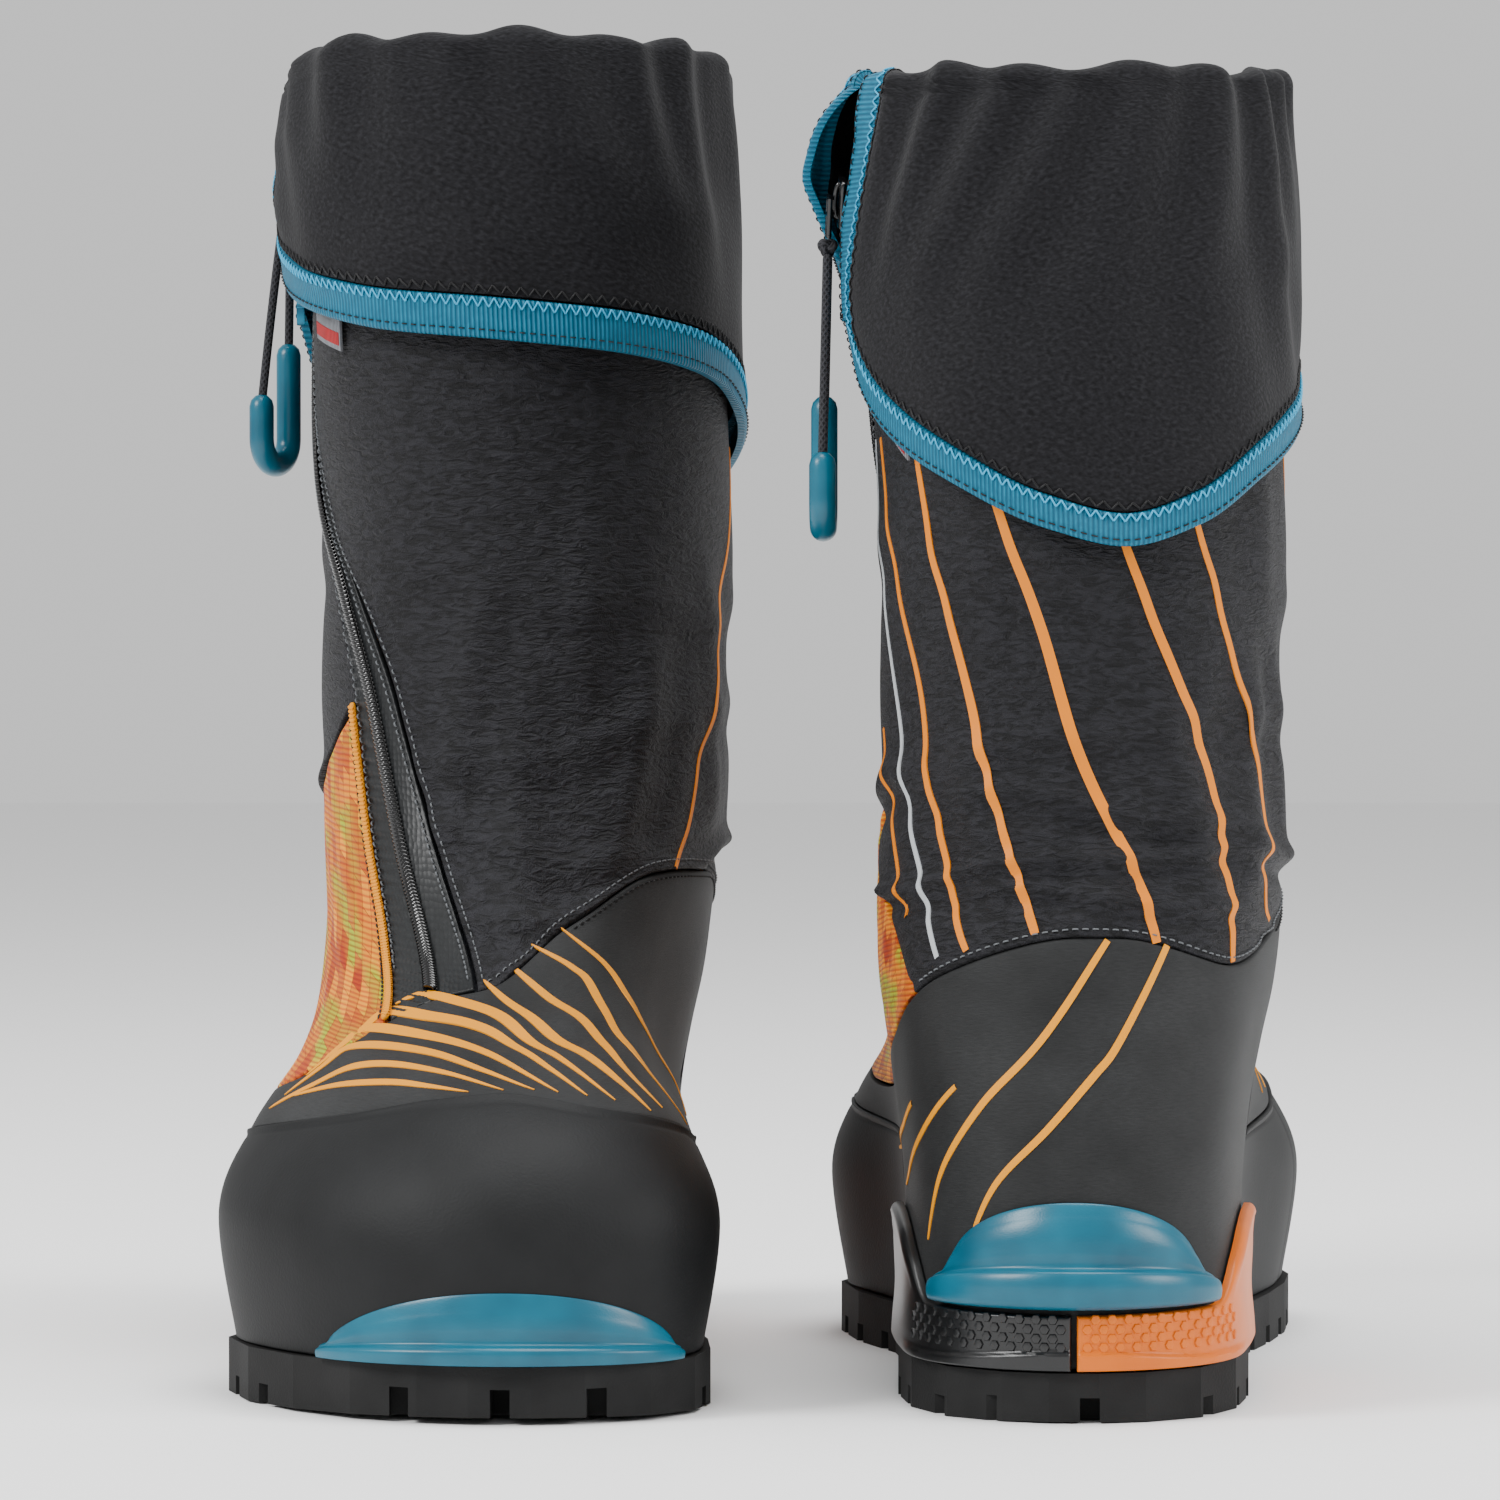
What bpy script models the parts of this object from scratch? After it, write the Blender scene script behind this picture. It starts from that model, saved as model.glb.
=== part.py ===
"""A pair of high-altitude double boots with built-in gaiters, one facing forwards and one back.

Each boot is built in its own frame, in millimetres: x to the medial side, y from the heel to
the toe, z up from the ground. The right boot is the mirror image of the left one. An empty
carries each boot to its place, and the pair's footprint is centred on the world's origin.

Most pieces lie on one form, the outer surface of the upper. A place on it is an angle round the
boot (0 at the heel, 90 lateral, 180 at the toe, 270 medial) and a level (0 at the sole's edge,
1 at the collar's fold). An offset is a distance out from the form.
"""

import math

import bmesh
import bpy
from mathutils import Vector

MM = 0.001
GAP = 0.3
SEAM_GAP = 1.0

# Sections of the form from the sole's edge up to the collar: back y and z, front y and z,
# half widths at 30, 60, 90, 120 and 150 degrees, and the share of the toe's inward bend.
RINGS = (
    (6, 13, 311, 15, 34, 44.5, 43.5, 61, 44, 1.0),
    (4, 49, 312, 48, 33.5, 43.5, 47, 65.5, 47, 1.0),
    (5, 73, 300, 69, 34, 45, 48, 57, 40, 1.0),
    (9, 95, 274, 84, 35, 47, 50, 47, 31, 0.8),
    (13, 115, 240, 95, 35, 49, 52, 44, 26, 0.5),
    (17, 135, 204, 112, 34, 50, 53, 45, 26, 0.25),
    (19, 156, 177, 141, 33, 49, 54, 47, 28, 0.1),
    (19, 185, 164, 179, 30, 48, 54, 48, 29, 0.0),
    (16, 228, 160, 225, 29, 48, 55, 48, 29, 0.0),
    (16, 286, 160, 286, 29, 48.5, 55, 48.5, 29, 0.0),
    (19, 339, 162, 345, 29, 47.5, 54, 47.5, 29, 0.0),
)
CENTRE_LINE = ((0.0, -2), (0.5, -2), (0.72, -5), (1.0, 10))

# Seams on the form, as (angle, level) points.
ZIP_LINE = ((160, 0.45), (151, 0.60), (142, 0.70), (127, 0.77), (101, 0.835), (84, 0.90), (70, 1.0))
SHELL_TOP = (
    (0, 0.435), (30, 0.39), (65, 0.295), (100, 0.215), (125, 0.265), (142, 0.385),
    (160, 0.445), (178, 0.47), (198, 0.53), (226, 0.567), (262, 0.545), (295, 0.47),
    (325, 0.405), (352, 0.435), (360, 0.435),
)
RAND_TOP = (
    (84, 0.165), (105, 0.175), (125, 0.20), (150, 0.238), (165, 0.265), (180, 0.278),
    (200, 0.25), (225, 0.21), (242, 0.183), (276, 0.165),
)
PANEL_TOP = ((38, 0.375), (62, 0.50), (90, 0.60), (118, 0.665), (134, 0.70))
FLAP_EDGE = (
    (84, 0.918), (95, 0.915), (110, 0.903), (130, 0.893), (155, 0.885), (180, 0.881),
    (215, 0.875), (245, 0.866), (265, 0.853), (280, 0.843), (310, 0.82), (332, 0.797),
    (350, 0.786), (368, 0.795), (390, 0.817), (405, 0.832), (420, 0.852), (432, 0.878), (440, 0.90),
)
COUNTER_TOP = ((0, 0.045), (31, 0.047), (41, 0.073), (50, 0.09), (63, 0.10), (72, 0.094), (82, 0.045))

# Distances (level, mm) from the zip's centre line to the tape's front and rear edges.
TAPE_FRONT = ((0.45, 12.0), (0.60, 9.5), (0.72, 7.0), (0.85, 5.0), (0.93, 5.0), (0.96, 3.4))
TAPE_REAR = ((0.45, 17.0), (0.60, 13.5), (0.72, 9.0), (0.85, 5.0), (0.93, 5.0), (0.96, 3.4))

# Angles at which neighbouring pieces share their edges, so that no seam closes up.
HEEL_STATIONS = (0, 10, 20, 31, 41, 50, 59, 68, 77)
PANEL_FEET = (41, 50, 59, 68, 77, 89, 98, 107, 116, 124, 132)
PANEL_HEADS = (41, 57, 73, 89, 105, 120)
PANEL_FRONT = (0.697, 0.65, 0.59, 0.53, 0.46, 0.41)
FRONT_STATIONS = (89, 98, 107, 116, 124, 132, 140, 147, 156, 165, 174, 183, 192, 201, 210, 219,
                  228, 240, 252, 264)

WALL = 2.4
RAND_FROM, RAND_TO = 84, 276
GAITER_TOP = 0.94
ZIP_TOP = 0.96

OUTSOLE_FLARE = 2.0
TREAD_DEPTH = 5.0
TOE_SPRING = 2.0
SPRING_FROM = 225
BOARD_HEEL_Z, BOARD_TOE_Z = 27.5, 25.0
BOARD_THICK = 2.0

LINER_OFFSET = -8.0
LINER_WALL = 7.0

CUFF_WALL = 2.0
FOLD_RADIUS = 3.4
FOLD_OFFSET = 2 * FOLD_RADIUS - WALL
FLAP_OUT, FLAP_LATERAL = 6.3, 1.5
SLIT_HALF = 5.5
BINDING_WIDTH, BINDING_THICK = 11.0, 2.8
BINDING_START = 0.988

SLIDER_SIZE = (8.0, 6.6, 13.0)
SLIDER_OFFSET = 6.6
COIL_HALF, COIL_SHIFT = 2.2, 0.15
TAB_SIZE = (4.6, 1.4, 11.0)
KNOT_RADIUS = 2.9
CORD_RADIUS = 1.25
HOOK_RADIUS = 3.5
HOOK_HALF = 7.4
HOOK_LONG, HOOK_SHORT = 24.0, 9.0
HOOK_DROP = 66.0
LINER_FLOOR = 38.5
LINER_LEVELS = (0.055, 0.10, 0.16, 0.24, 0.34, 0.45, 0.53, 0.60, 0.67, 0.74, 0.765, 0.82, 0.88)


class Boot:
    """One boot of the pair: what differs from the other, its empty and its collection."""

    def __init__(
        self, side, location, mirrored, top_lift, spread, flare, slider_level, hook_turn, hook_lean
    ):
        self.side = side
        self.top_lift = top_lift
        self.spread = spread
        self.flare = flare
        self.slider_level = slider_level
        self.hook_turn = hook_turn
        self.hook_lean = hook_lean
        self.collection = bpy.data.collections.new(f"{side}_boot")
        bpy.context.scene.collection.children.link(self.collection)
        self.empty = bpy.data.objects.new(f"{side}_boot_place", None)
        self.empty.location = Vector(location) * MM
        self.empty.rotation_euler = (0, 0, math.radians(BOOT_YAW))
        self.empty.scale = (1, -1 if mirrored else 1, 1)
        self.collection.objects.link(self.empty)


# Places of the two boots, which make the pair's bounding box stand on the origin.
BOOT_YAW = -2.5
TOP_LEAN = -4.0
LEFT_PLACE = (73.9, -156.3, 0)
RIGHT_PLACE = (-68.6, 156.9, 0)


# ---------------------------------------------------------------- curves and the form


def spline(p0, p1, p2, p3, u):
    """The Catmull-Rom curve through p1 and p2, at u from 0 to 1."""
    return (
        p1 * 2 + (p2 - p0) * u + (p0 * 2 - p1 * 5 + p2 * 4 - p3) * u * u
        + (p1 * 3 - p0 - p2 * 3 + p3) * u * u * u
    ) * 0.5


def along(points, x):
    """The smooth curve through (x, y) points that never overshoots them, at x."""
    if x <= points[0][0]:
        return points[0][1]
    if x >= points[-1][0]:
        return points[-1][1]
    i = max(k for k in range(len(points) - 1) if points[k][0] <= x)
    slopes = [
        (points[k + 1][1] - points[k][1]) / (points[k + 1][0] - points[k][0])
        for k in range(len(points) - 1)
    ]

    def tangent(k):
        if k in (0, len(points) - 1) or slopes[k - 1] * slopes[k] <= 0:
            return 0.0
        return 2 * slopes[k - 1] * slopes[k] / (slopes[k - 1] + slopes[k])

    (x0, y0), (x1, y1) = points[i], points[i + 1]
    step = x1 - x0
    u = (x - x0) / step
    m0, m1 = tangent(i) * step, tangent(i + 1) * step
    return (
        (2 * u**3 - 3 * u**2 + 1) * y0 + (u**3 - 2 * u**2 + u) * m0
        + (3 * u**2 - 2 * u**3) * y1 + (u**3 - u**2) * m1
    )


def smooth_step(low, high, x):
    u = min(1.0, max(0.0, (x - low) / (high - low)))
    return u * u * (3 - 2 * u)


def ring_point(ring, angle):
    """A place on one section ring: its half widths are joined by a smooth closed curve."""
    back_y, back_z, front_y, front_z, *widths, bend = ring
    lobes = [0.0, *widths, 0.0, *(-w for w in reversed(widths))]
    step = 360 / len(lobes)
    i, u = divmod(angle % 360 / step, 1)
    near = [lobes[(int(i) + k) % len(lobes)] for k in (-1, 0, 1, 2)]
    share = (1 - math.cos(math.radians(angle))) / 2
    return Vector((
        along(CENTRE_LINE, share) * bend - spline(*near, u),
        back_y + (front_y - back_y) * share,
        back_z + (front_z - back_z) * share,
    ))


def on_form(boot, angle, level):
    """The place on the form at an angle and a level."""
    height = min(max(level, 0.0), 1.0) * (len(RINGS) - 1)
    i = min(int(height), len(RINGS) - 2)
    near = [RINGS[min(max(i + k, 0), len(RINGS) - 1)] for k in (-1, 0, 1, 2)]
    point = spline(*(ring_point(r, angle) for r in near), height - i)
    point.x *= 1 + boot.spread * smooth_step(0.45, 0.7, level)
    point.x += TOP_LEAN * smooth_step(0.78, 1.0, level)
    point.z += boot.top_lift * max(0.0, (level - 0.8) / 0.2) ** 1.3
    return point


def form_normal(boot, angle, level):
    """The outward normal of the form."""
    low, high = max(level - 0.004, 0.0), min(level + 0.004, 1.0)
    up = on_form(boot, angle, high) - on_form(boot, angle, low)
    round_it = on_form(boot, angle + 1.5, level) - on_form(boot, angle - 1.5, level)
    return up.cross(round_it).normalized()


def off_form(boot, angle, level, offset):
    return on_form(boot, angle, level) + form_normal(boot, angle, level) * offset


def degrees_of(boot, angle, level, distance):
    """How many degrees round the form a distance (mm) takes at a place."""
    return distance * 8 / (on_form(boot, angle + 4, level) - on_form(boot, angle - 4, level)).length


def steps(low, high, count):
    """count + 1 even steps from low to high."""
    return [low + (high - low) * i / count for i in range(count + 1)]


# ---------------------------------------------------------------- making objects


def add_object(boot, name, data, material):
    data.materials.append(material)
    made = bpy.data.objects.new(f"{boot.side}_{name}", data)
    boot.collection.objects.link(made)
    made.parent = boot.empty
    return made


def mesh_from(name, points, faces):
    """A mesh in metres from points in millimetres, with its faces turned the same way."""
    mesh = bpy.data.meshes.new(name)
    mesh.from_pydata([tuple(Vector(p) * MM) for p in points], [], faces)
    mesh.validate()
    return mesh


def face_outwards(mesh):
    bm = bmesh.new()
    bm.from_mesh(mesh)
    bmesh.ops.recalc_face_normals(bm, faces=bm.faces)
    bm.to_mesh(mesh)
    bm.free()
    mesh.shade_smooth()
    mesh.set_sharp_from_angle(angle=math.radians(40))
    return mesh


def grid_faces(rows, columns, closed=False):
    """Faces of a grid of points stored row by row, wound so that a wall on the form faces out."""
    around = columns if closed else columns - 1
    return [
        (
            r * columns + c,
            (r + 1) * columns + c,
            (r + 1) * columns + (c + 1) % columns,
            r * columns + (c + 1) % columns,
        )
        for r in range(rows - 1)
        for c in range(around)
    ]


def add_wall(boot, name, place, thickness, material, closed=False):
    """A wall between two faces: place(0) gives rows of points on the outer one, and
    place(-thickness) the same points that far behind it."""
    outer, inner = place(0.0), place(-thickness)
    rows, columns = len(outer), len(outer[0])
    faces = grid_faces(rows, columns, closed)
    count = rows * columns
    edges = {(f[k], f[(k + 1) % 4]) for f in faces for k in range(4)}
    rims = [(b, a, a + count, b + count) for a, b in edges if (b, a) not in edges]
    faces += [tuple(v + count for v in reversed(f)) for f in faces] + sorted(rims)
    mesh = mesh_from(name, [p for row in (*outer, *inner) for p in row], faces)
    mesh.shade_smooth()
    mesh.set_sharp_from_angle(angle=math.radians(40))
    return add_object(boot, name, mesh, material)


def add_loft(boot, name, sections, material):
    """A closed solid through sections with the same number of points, capped at both ends."""
    count = len(sections[0])
    faces = grid_faces(len(sections), count, closed=True)
    last = (len(sections) - 1) * count
    faces.append(tuple(range(count)))
    faces.append(tuple(range(last, last + count)))
    mesh = mesh_from(name, [p for s in sections for p in s], faces)
    return add_object(boot, name, face_outwards(mesh), material)


def add_box(boot, name, size, frame, material, bevel):
    """A rounded block of a size (mm) along the frame's three axes, about its origin."""
    bm = bmesh.new()
    bmesh.ops.create_cube(bm, size=1.0)
    bmesh.ops.scale(bm, vec=Vector(size) * MM, verts=bm.verts)
    mesh = bpy.data.meshes.new(name)
    bm.to_mesh(mesh)
    bm.free()
    mesh.shade_smooth()
    made = add_object(boot, name, mesh, material)
    made.matrix_local = frame
    rounding = made.modifiers.new("rounding", "BEVEL")
    rounding.width = bevel * MM
    rounding.segments = 1
    return made


def add_tube(boot, name, points, radius, material, origin, sides=2):
    """A tube along points (mm), as a poly curve whose origin is on its joint's axis."""
    curve = bpy.data.curves.new(name, "CURVE")
    curve.dimensions = "3D"
    curve.bevel_depth = radius * MM
    curve.bevel_resolution = sides
    curve.use_fill_caps = True
    line = curve.splines.new("POLY")
    line.points.add(len(points) - 1)
    for stored, point in zip(line.points, points):
        stored.co = (*((point - origin) * MM), 1)
    made = add_object(boot, name, curve, material)
    made.location = origin * MM
    return made


def surface_frame(boot, angle, level, offset, along_zip):
    """A matrix whose origin lies off the form, with Y out of it and Z up the zip."""
    out = form_normal(boot, angle, level)
    up = (along_zip - out * along_zip.dot(out)).normalized()
    place = off_form(boot, angle, level, offset) * MM
    side = out.cross(up)
    matrix = Vector.to_track_quat(out, "Y", "Z").to_matrix().to_4x4()
    for row in range(3):
        matrix[row][0], matrix[row][1], matrix[row][2] = side[row], out[row], up[row]
        matrix[row][3] = place[row]
    return matrix


def material(name, colour, roughness, metallic=0.0):
    made = bpy.data.materials.new(name)
    made.use_nodes = True
    shader = made.node_tree.nodes["Principled BSDF"]
    shader.inputs["Base Color"].default_value = (*colour, 1)
    shader.inputs["Roughness"].default_value = roughness
    shader.inputs["Metallic"].default_value = metallic
    return made


# ---------------------------------------------------------------- the sole


def sole_edges(boot, offset, level=0.0):
    """Pairs of edge points, lateral and medial, from the heel to the toe."""
    angles = [5, 14, 26, 40, 55, 70, 84, 96, 108, 120, 132, 144, 156, 167, 175]
    return [
        (off_form(boot, a, level, offset), off_form(boot, 360 - a, level, offset)) for a in angles
    ]


def sole_bottom(y):
    """Height of the tread: flat, with a bevelled heel and a toe that springs up."""
    toe = TOE_SPRING * (max(0.0, y - SPRING_FROM) / 90) ** 2
    heel = 0.8 * (max(0.0, 20 - y) / 20) ** 2
    return toe + heel


def slab(boot, name, edges, bottom, top, material):
    """A loft across the foot: bottom and top give the height at a distance from the heel."""
    sections = []
    for lateral, medial in edges:
        ends = [(p.x, p.y) for p in (lateral, medial)]
        section = [Vector((x, y, bottom(y))) for x, y in ends]
        section += [Vector((x, y, top(y))) for x, y in reversed(ends)]
        sections.append(section)
    return add_loft(boot, name, sections, material)


def sole_top(y):
    return 13 + 2 * (y - 6) / 305 - GAP


def board_bottom(y):
    return BOARD_HEEL_Z + (BOARD_TOE_Z - BOARD_HEEL_Z) * y / 311


def tread_cutter(boot, edges):
    """Side grooves between the lugs, the arch between heel and forefoot, and the end notches."""
    bm = bmesh.new()

    def block(x, y, size_x, size_y, top, turn=0.0):
        made = bmesh.ops.create_cube(bm, size=1.0)["verts"]
        bmesh.ops.scale(bm, vec=(size_x * MM, size_y * MM, 20 * MM), verts=made)
        bmesh.ops.rotate(
            bm, cent=(0, 0, 0), matrix=Vector((0, 1, 0)).rotation_difference(
                Vector((math.sin(turn), math.cos(turn), 0))
            ).to_matrix(), verts=made,
        )
        bmesh.ops.translate(bm, vec=(x * MM, y * MM, (top - 10) * MM), verts=made)

    for y in (24, 46, 68, 160, 182, 204, 226, 248, 270):
        near = min(edges, key=lambda pair: abs(pair[0].y - y))
        for edge, tilt in zip(near, (0.25, -0.25)):
            block(edge.x, y, 38, 5, TREAD_DEPTH + sole_bottom(y), tilt)
    block(0, 116, 160, 40, TREAD_DEPTH)
    for x in (-24, 2, 26):
        block(x, 0, 5, 24, TREAD_DEPTH + 1.5)
    for x in (-16, 10, 34):
        block(x, 312, 5, 22, TREAD_DEPTH + 4)
    mesh = bpy.data.meshes.new("tread_cutter")
    bm.to_mesh(mesh)
    bm.free()
    cutter = bpy.data.objects.new(f"{boot.side}_tread_cutter", mesh)
    cutter.parent = boot.empty
    cutter.hide_render = True
    cutter.display_type = "WIRE"
    CUTTERS.objects.link(cutter)
    return cutter


def add_sole(boot):
    edges = sole_edges(boot, OUTSOLE_FLARE)
    outsole = slab(boot, "outsole", edges, sole_bottom, sole_top, SOLE_RUBBER)
    tread = outsole.modifiers.new("tread", "BOOLEAN")
    tread.object = tread_cutter(boot, edges)
    inner = sole_edges(boot, -WALL - 1.8)
    slab(
        boot, "midsole", inner, lambda y: sole_top(y) + GAP,
        lambda y: board_bottom(y) - GAP, BLACK_FOAM,
    )
    slab(
        boot, "lasting_board", sole_edges(boot, -WALL - 2.0), board_bottom,
        lambda y: board_bottom(y) + BOARD_THICK, CARBON_BOARD,
    )


# ---------------------------------------------------------------- hard trim on the heel and toe


def ledge(boot, name, angles, profile, band, reach, material):
    """A crampon welt: a closed profile of (level, offset) points carried round the form. It
    thins towards its ends, and its dome, above the band's top level, dies out there."""
    middle = (angles[0] + angles[-1]) / 2
    base = profile[0][0]
    sections = []
    for angle in angles:
        arc = math.sqrt(1 - ((angle - middle) / reach) ** 2)
        left = 0.35 + 0.65 * arc
        section = []
        for level, offset in profile:
            dome = max(0.0, level - band) * (0.1 + 0.9 * arc)
            rise = (min(level, band) - base + dome) * left
            section.append(off_form(boot, angle, base + rise, GAP + (offset - GAP) * left))
        sections.append(section)
    return add_loft(boot, name, sections, material)


def add_welts(boot):
    ledge(
        boot, "heel_welt", steps(-30, 30, 14),
        ((0.049, 0.4), (0.050, 5.0), (0.055, 7.6), (0.070, 7.8), (0.0745, 4.4), (0.095, 4.0),
         (0.112, 2.4), (0.121, 0.4)),
        0.0745, 31.5, TEAL_PLASTIC,
    )
    ledge(
        boot, "toe_welt", steps(150, 211, 14),
        ((0.0025, 0.4), (0.0025, 5.4), (0.020, 5.6), (0.025, 3.0), (0.045, 2.2), (0.056, 0.4)),
        0.025, 31.5, TEAL_PLASTIC,
    )


def add_counters(boot):
    """The two halves of the heel stabiliser, one on each side of the heel's centre line."""
    angles = (0.6, *HEEL_STATIONS[1:], RAND_FROM - 1.5)
    for name, sign, colour in (("lateral", 1, BLACK_PLASTIC), ("medial", -1, ORANGE_PLASTIC)):
        ordered = angles if sign > 0 else angles[::-1]

        def place(depth, ordered=ordered, sign=sign):
            return [
                [
                    off_form(
                        boot, sign * a, 0.003 + (along(COUNTER_TOP, a) - 0.003) * share,
                        3.2 + depth,
                    )
                    for a in ordered
                ]
                for share in steps(0, 1, 3)
            ]

        add_wall(boot, f"heel_counter_{name}", place, 2.5, colour)


# ---------------------------------------------------------------- the upper


def add_rand(boot):
    angles = (RAND_FROM + 0.7, *FRONT_STATIONS, RAND_TO - 0.7)

    def place(depth):
        return [
            [off_form(boot, a, (along(RAND_TOP, a) - 0.0018) * share, depth) for a in angles]
            for share in steps(0, 1, 5)
        ]

    add_wall(boot, "toe_rand", place, WALL, RAND_RUBBER)


def shell_bottom(angle):
    """The shell starts above the rand at the front, and at the sole's edge round the heel."""
    angle %= 360
    if RAND_FROM - 1 < angle < RAND_TO + 1:
        return along(RAND_TOP, angle)
    return 0.003


def add_shell(boot):
    """The lower shell, a closed band round the foot."""
    angles = [RAND_FROM, *FRONT_STATIONS, *zip_feet(boot), RAND_TO, RAND_TO + 1.5]
    angles.sort()
    angles += [360 - a for a in reversed(HEEL_STATIONS)]
    angles += [360 + a for a in HEEL_STATIONS[1:]] + [360 + RAND_FROM - 1.5]

    def place(depth):
        rows = []
        for share in steps(0, 1, 4):
            rows.append([])
            for a in angles:
                low = shell_bottom(a)
                level = low + (along(SHELL_TOP, a % 360) - low) * share
                rows[-1].append(off_form(boot, a, level, depth))
        return rows

    add_wall(boot, "lower_shell", place, WALL, SHELL_FABRIC, closed=True)


def zip_angle(level):
    """The angle of the zip's centre line at a level."""
    return along(tuple((v, a) for a, v in ZIP_LINE), level)


def beside_zip(boot, level, distance):
    """The angle at a distance (mm) from the zip's centre line, positive towards the toe."""
    middle = zip_angle(level)
    return middle + math.copysign(degrees_of(boot, middle, level, abs(distance)), distance)


def tape_edge(boot, level, side, gap=0.0):
    """The angle of one edge of the zip's tape: side is +1 towards the toe, -1 towards the heel."""
    reach = along(TAPE_FRONT if side > 0 else TAPE_REAR, level) + gap
    return beside_zip(boot, level, side * reach)


def zip_feet(boot):
    """The angles of the tape's rear corner, middle and front corner on the shell's seam."""
    level = ZIP_LINE[0][1]
    return tape_edge(boot, level, -1), zip_angle(level), tape_edge(boot, level, 1)


def add_zip(boot):
    sides = (-1, 0, 1)

    def across(level, side):
        return tape_edge(boot, level, side) if side else zip_angle(level)

    feet = {side: along(SHELL_TOP, a) + 0.004 for side, a in zip(sides, zip_feet(boot))}

    def tape(depth):
        rows = []
        for share in steps(0, 1, 20):
            levels = [(feet[side] + (ZIP_TOP - feet[side]) * share, side) for side in sides]
            rows.append([off_form(boot, across(v, side), v, depth - 0.2) for v, side in levels])
        return rows

    add_wall(boot, "zip_tape", tape, 1.4, RUBBERISED_TAPE)

    def coil(depth):
        rows = []
        for level in steps(0.47, ZIP_TOP - 0.004, 18):
            middle = -COIL_SHIFT * along(TAPE_REAR, level)
            rows.append([
                off_form(boot, beside_zip(boot, level, middle + reach), level, 1.6 + depth)
                for reach in (-COIL_HALF, COIL_HALF)
            ])
        return rows

    add_wall(boot, "zip_coil", coil, 1.4, BLACK_PLASTIC)


def add_ankle_panel(boot):
    """The jacquard panel between the shell's seam, the gaiter and the zip."""
    front = zip_feet(boot)[0]
    front -= degrees_of(boot, front, 0.4, SEAM_GAP)
    angles = (PANEL_FEET[0] + 0.9, *PANEL_FEET[1:], front)
    feet = [(a, along(SHELL_TOP, a) + 0.0035) for a in angles]
    heads = [(a, along(PANEL_TOP, a)) for a in (PANEL_HEADS[0] + 0.9, *PANEL_HEADS[1:])]
    heads += [(tape_edge(boot, v, -1, SEAM_GAP), v) for v in PANEL_FRONT]

    def place(depth):
        return [
            [
                off_form(boot, a + (top_a - a) * share, v + (top_v - v) * share, depth)
                for (a, v), (top_a, top_v) in zip(feet, heads)
            ]
            for share in steps(0, 1, 5)
        ]

    add_wall(boot, "ankle_panel", place, WALL, JACQUARD)


def gaiter_feet(boot):
    """The gaiter's lower edge: along the shell's seam from the zip, then over the panel."""
    start = zip_feet(boot)[2]
    start += degrees_of(boot, start, 0.465, SEAM_GAP)
    angles = [start, *(a for a in FRONT_STATIONS if a > start + 2), RAND_TO, RAND_TO + 7]
    angles += [360 - a for a in reversed(HEEL_STATIONS[:-1])]
    angles += [360 + a for a in (*HEEL_STATIONS[1:4], 40)]
    feet = [(a, along(SHELL_TOP, a % 360) + 0.0015) for a in angles]
    feet += [(360 + a, along(PANEL_TOP, a) + 0.0015) for a in PANEL_HEADS]
    feet.append((360 + tape_edge(boot, 0.6985, -1, SEAM_GAP), 0.6985))
    return feet


def add_gaiter(boot):
    """The shaft's fabric, from the zip's front edge round the back to its rear edge."""

    def sides(level):
        level = max(level, ZIP_LINE[0][1])
        front = tape_edge(boot, level, 1, SEAM_GAP)
        return front, 360 + tape_edge(boot, level, -1, SEAM_GAP)

    def place(depth):
        columns = []
        for angle, foot in gaiter_feet(boot):
            front, rear = sides(foot)
            turn = (angle - front) / (rear - front)
            columns.append([])
            for share in steps(0, 1, 12):
                level = foot + (GAITER_TOP - foot) * share
                front, rear = sides(level)
                columns[-1].append(off_form(boot, front + turn * (rear - front), level, depth))
        return list(zip(*columns))

    add_wall(boot, "gaiter", place, WALL, GAITER_FABRIC)


class Flap:
    """The cuff's outer leg: a turn runs from 0 at the slit's front edge to 1 at its rear edge."""

    def __init__(self, boot):
        self.boot = boot
        front, rear = self.angle(0.0, 0.9), self.angle(1.0, 0.9)
        girth = (rear - front) / degrees_of(boot, 180, 0.9, 1.0)
        self.margin = BINDING_WIDTH / girth
        self.seam = 0.5 / girth

    def angle(self, turn, level):
        level = max(level, 0.9)
        front = beside_zip(self.boot, level, SLIT_HALF)
        rear = 360 + beside_zip(self.boot, level, -SLIT_HALF)
        return front + turn * (rear - front)

    def edge(self, turn):
        """The level of the free edge."""
        angle = self.angle(turn, 0.9)
        return along(FLAP_EDGE, (angle - FLAP_EDGE[0][0]) % 360 + FLAP_EDGE[0][0])

    def point(self, turn, level, extra=0.0):
        """A place on the flap's outer face. It stands off further down, and beside the slit."""
        drop = min(1.0, max(0.0, (1 - level) / (1 - self.edge(turn))))
        flare = math.exp(-turn / 0.05) + 0.1 * math.exp((turn - 1) / 0.04)
        out = FLAP_OUT + FLAP_LATERAL * math.sin(math.radians(self.angle(turn, level)))
        offset = FOLD_OFFSET + (out - FOLD_OFFSET) * drop**0.8
        offset += self.boot.flare * flare * math.sin(math.pi * min(1.0, drop))
        return off_form(self.boot, self.angle(turn, level), level, offset + extra)


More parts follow.
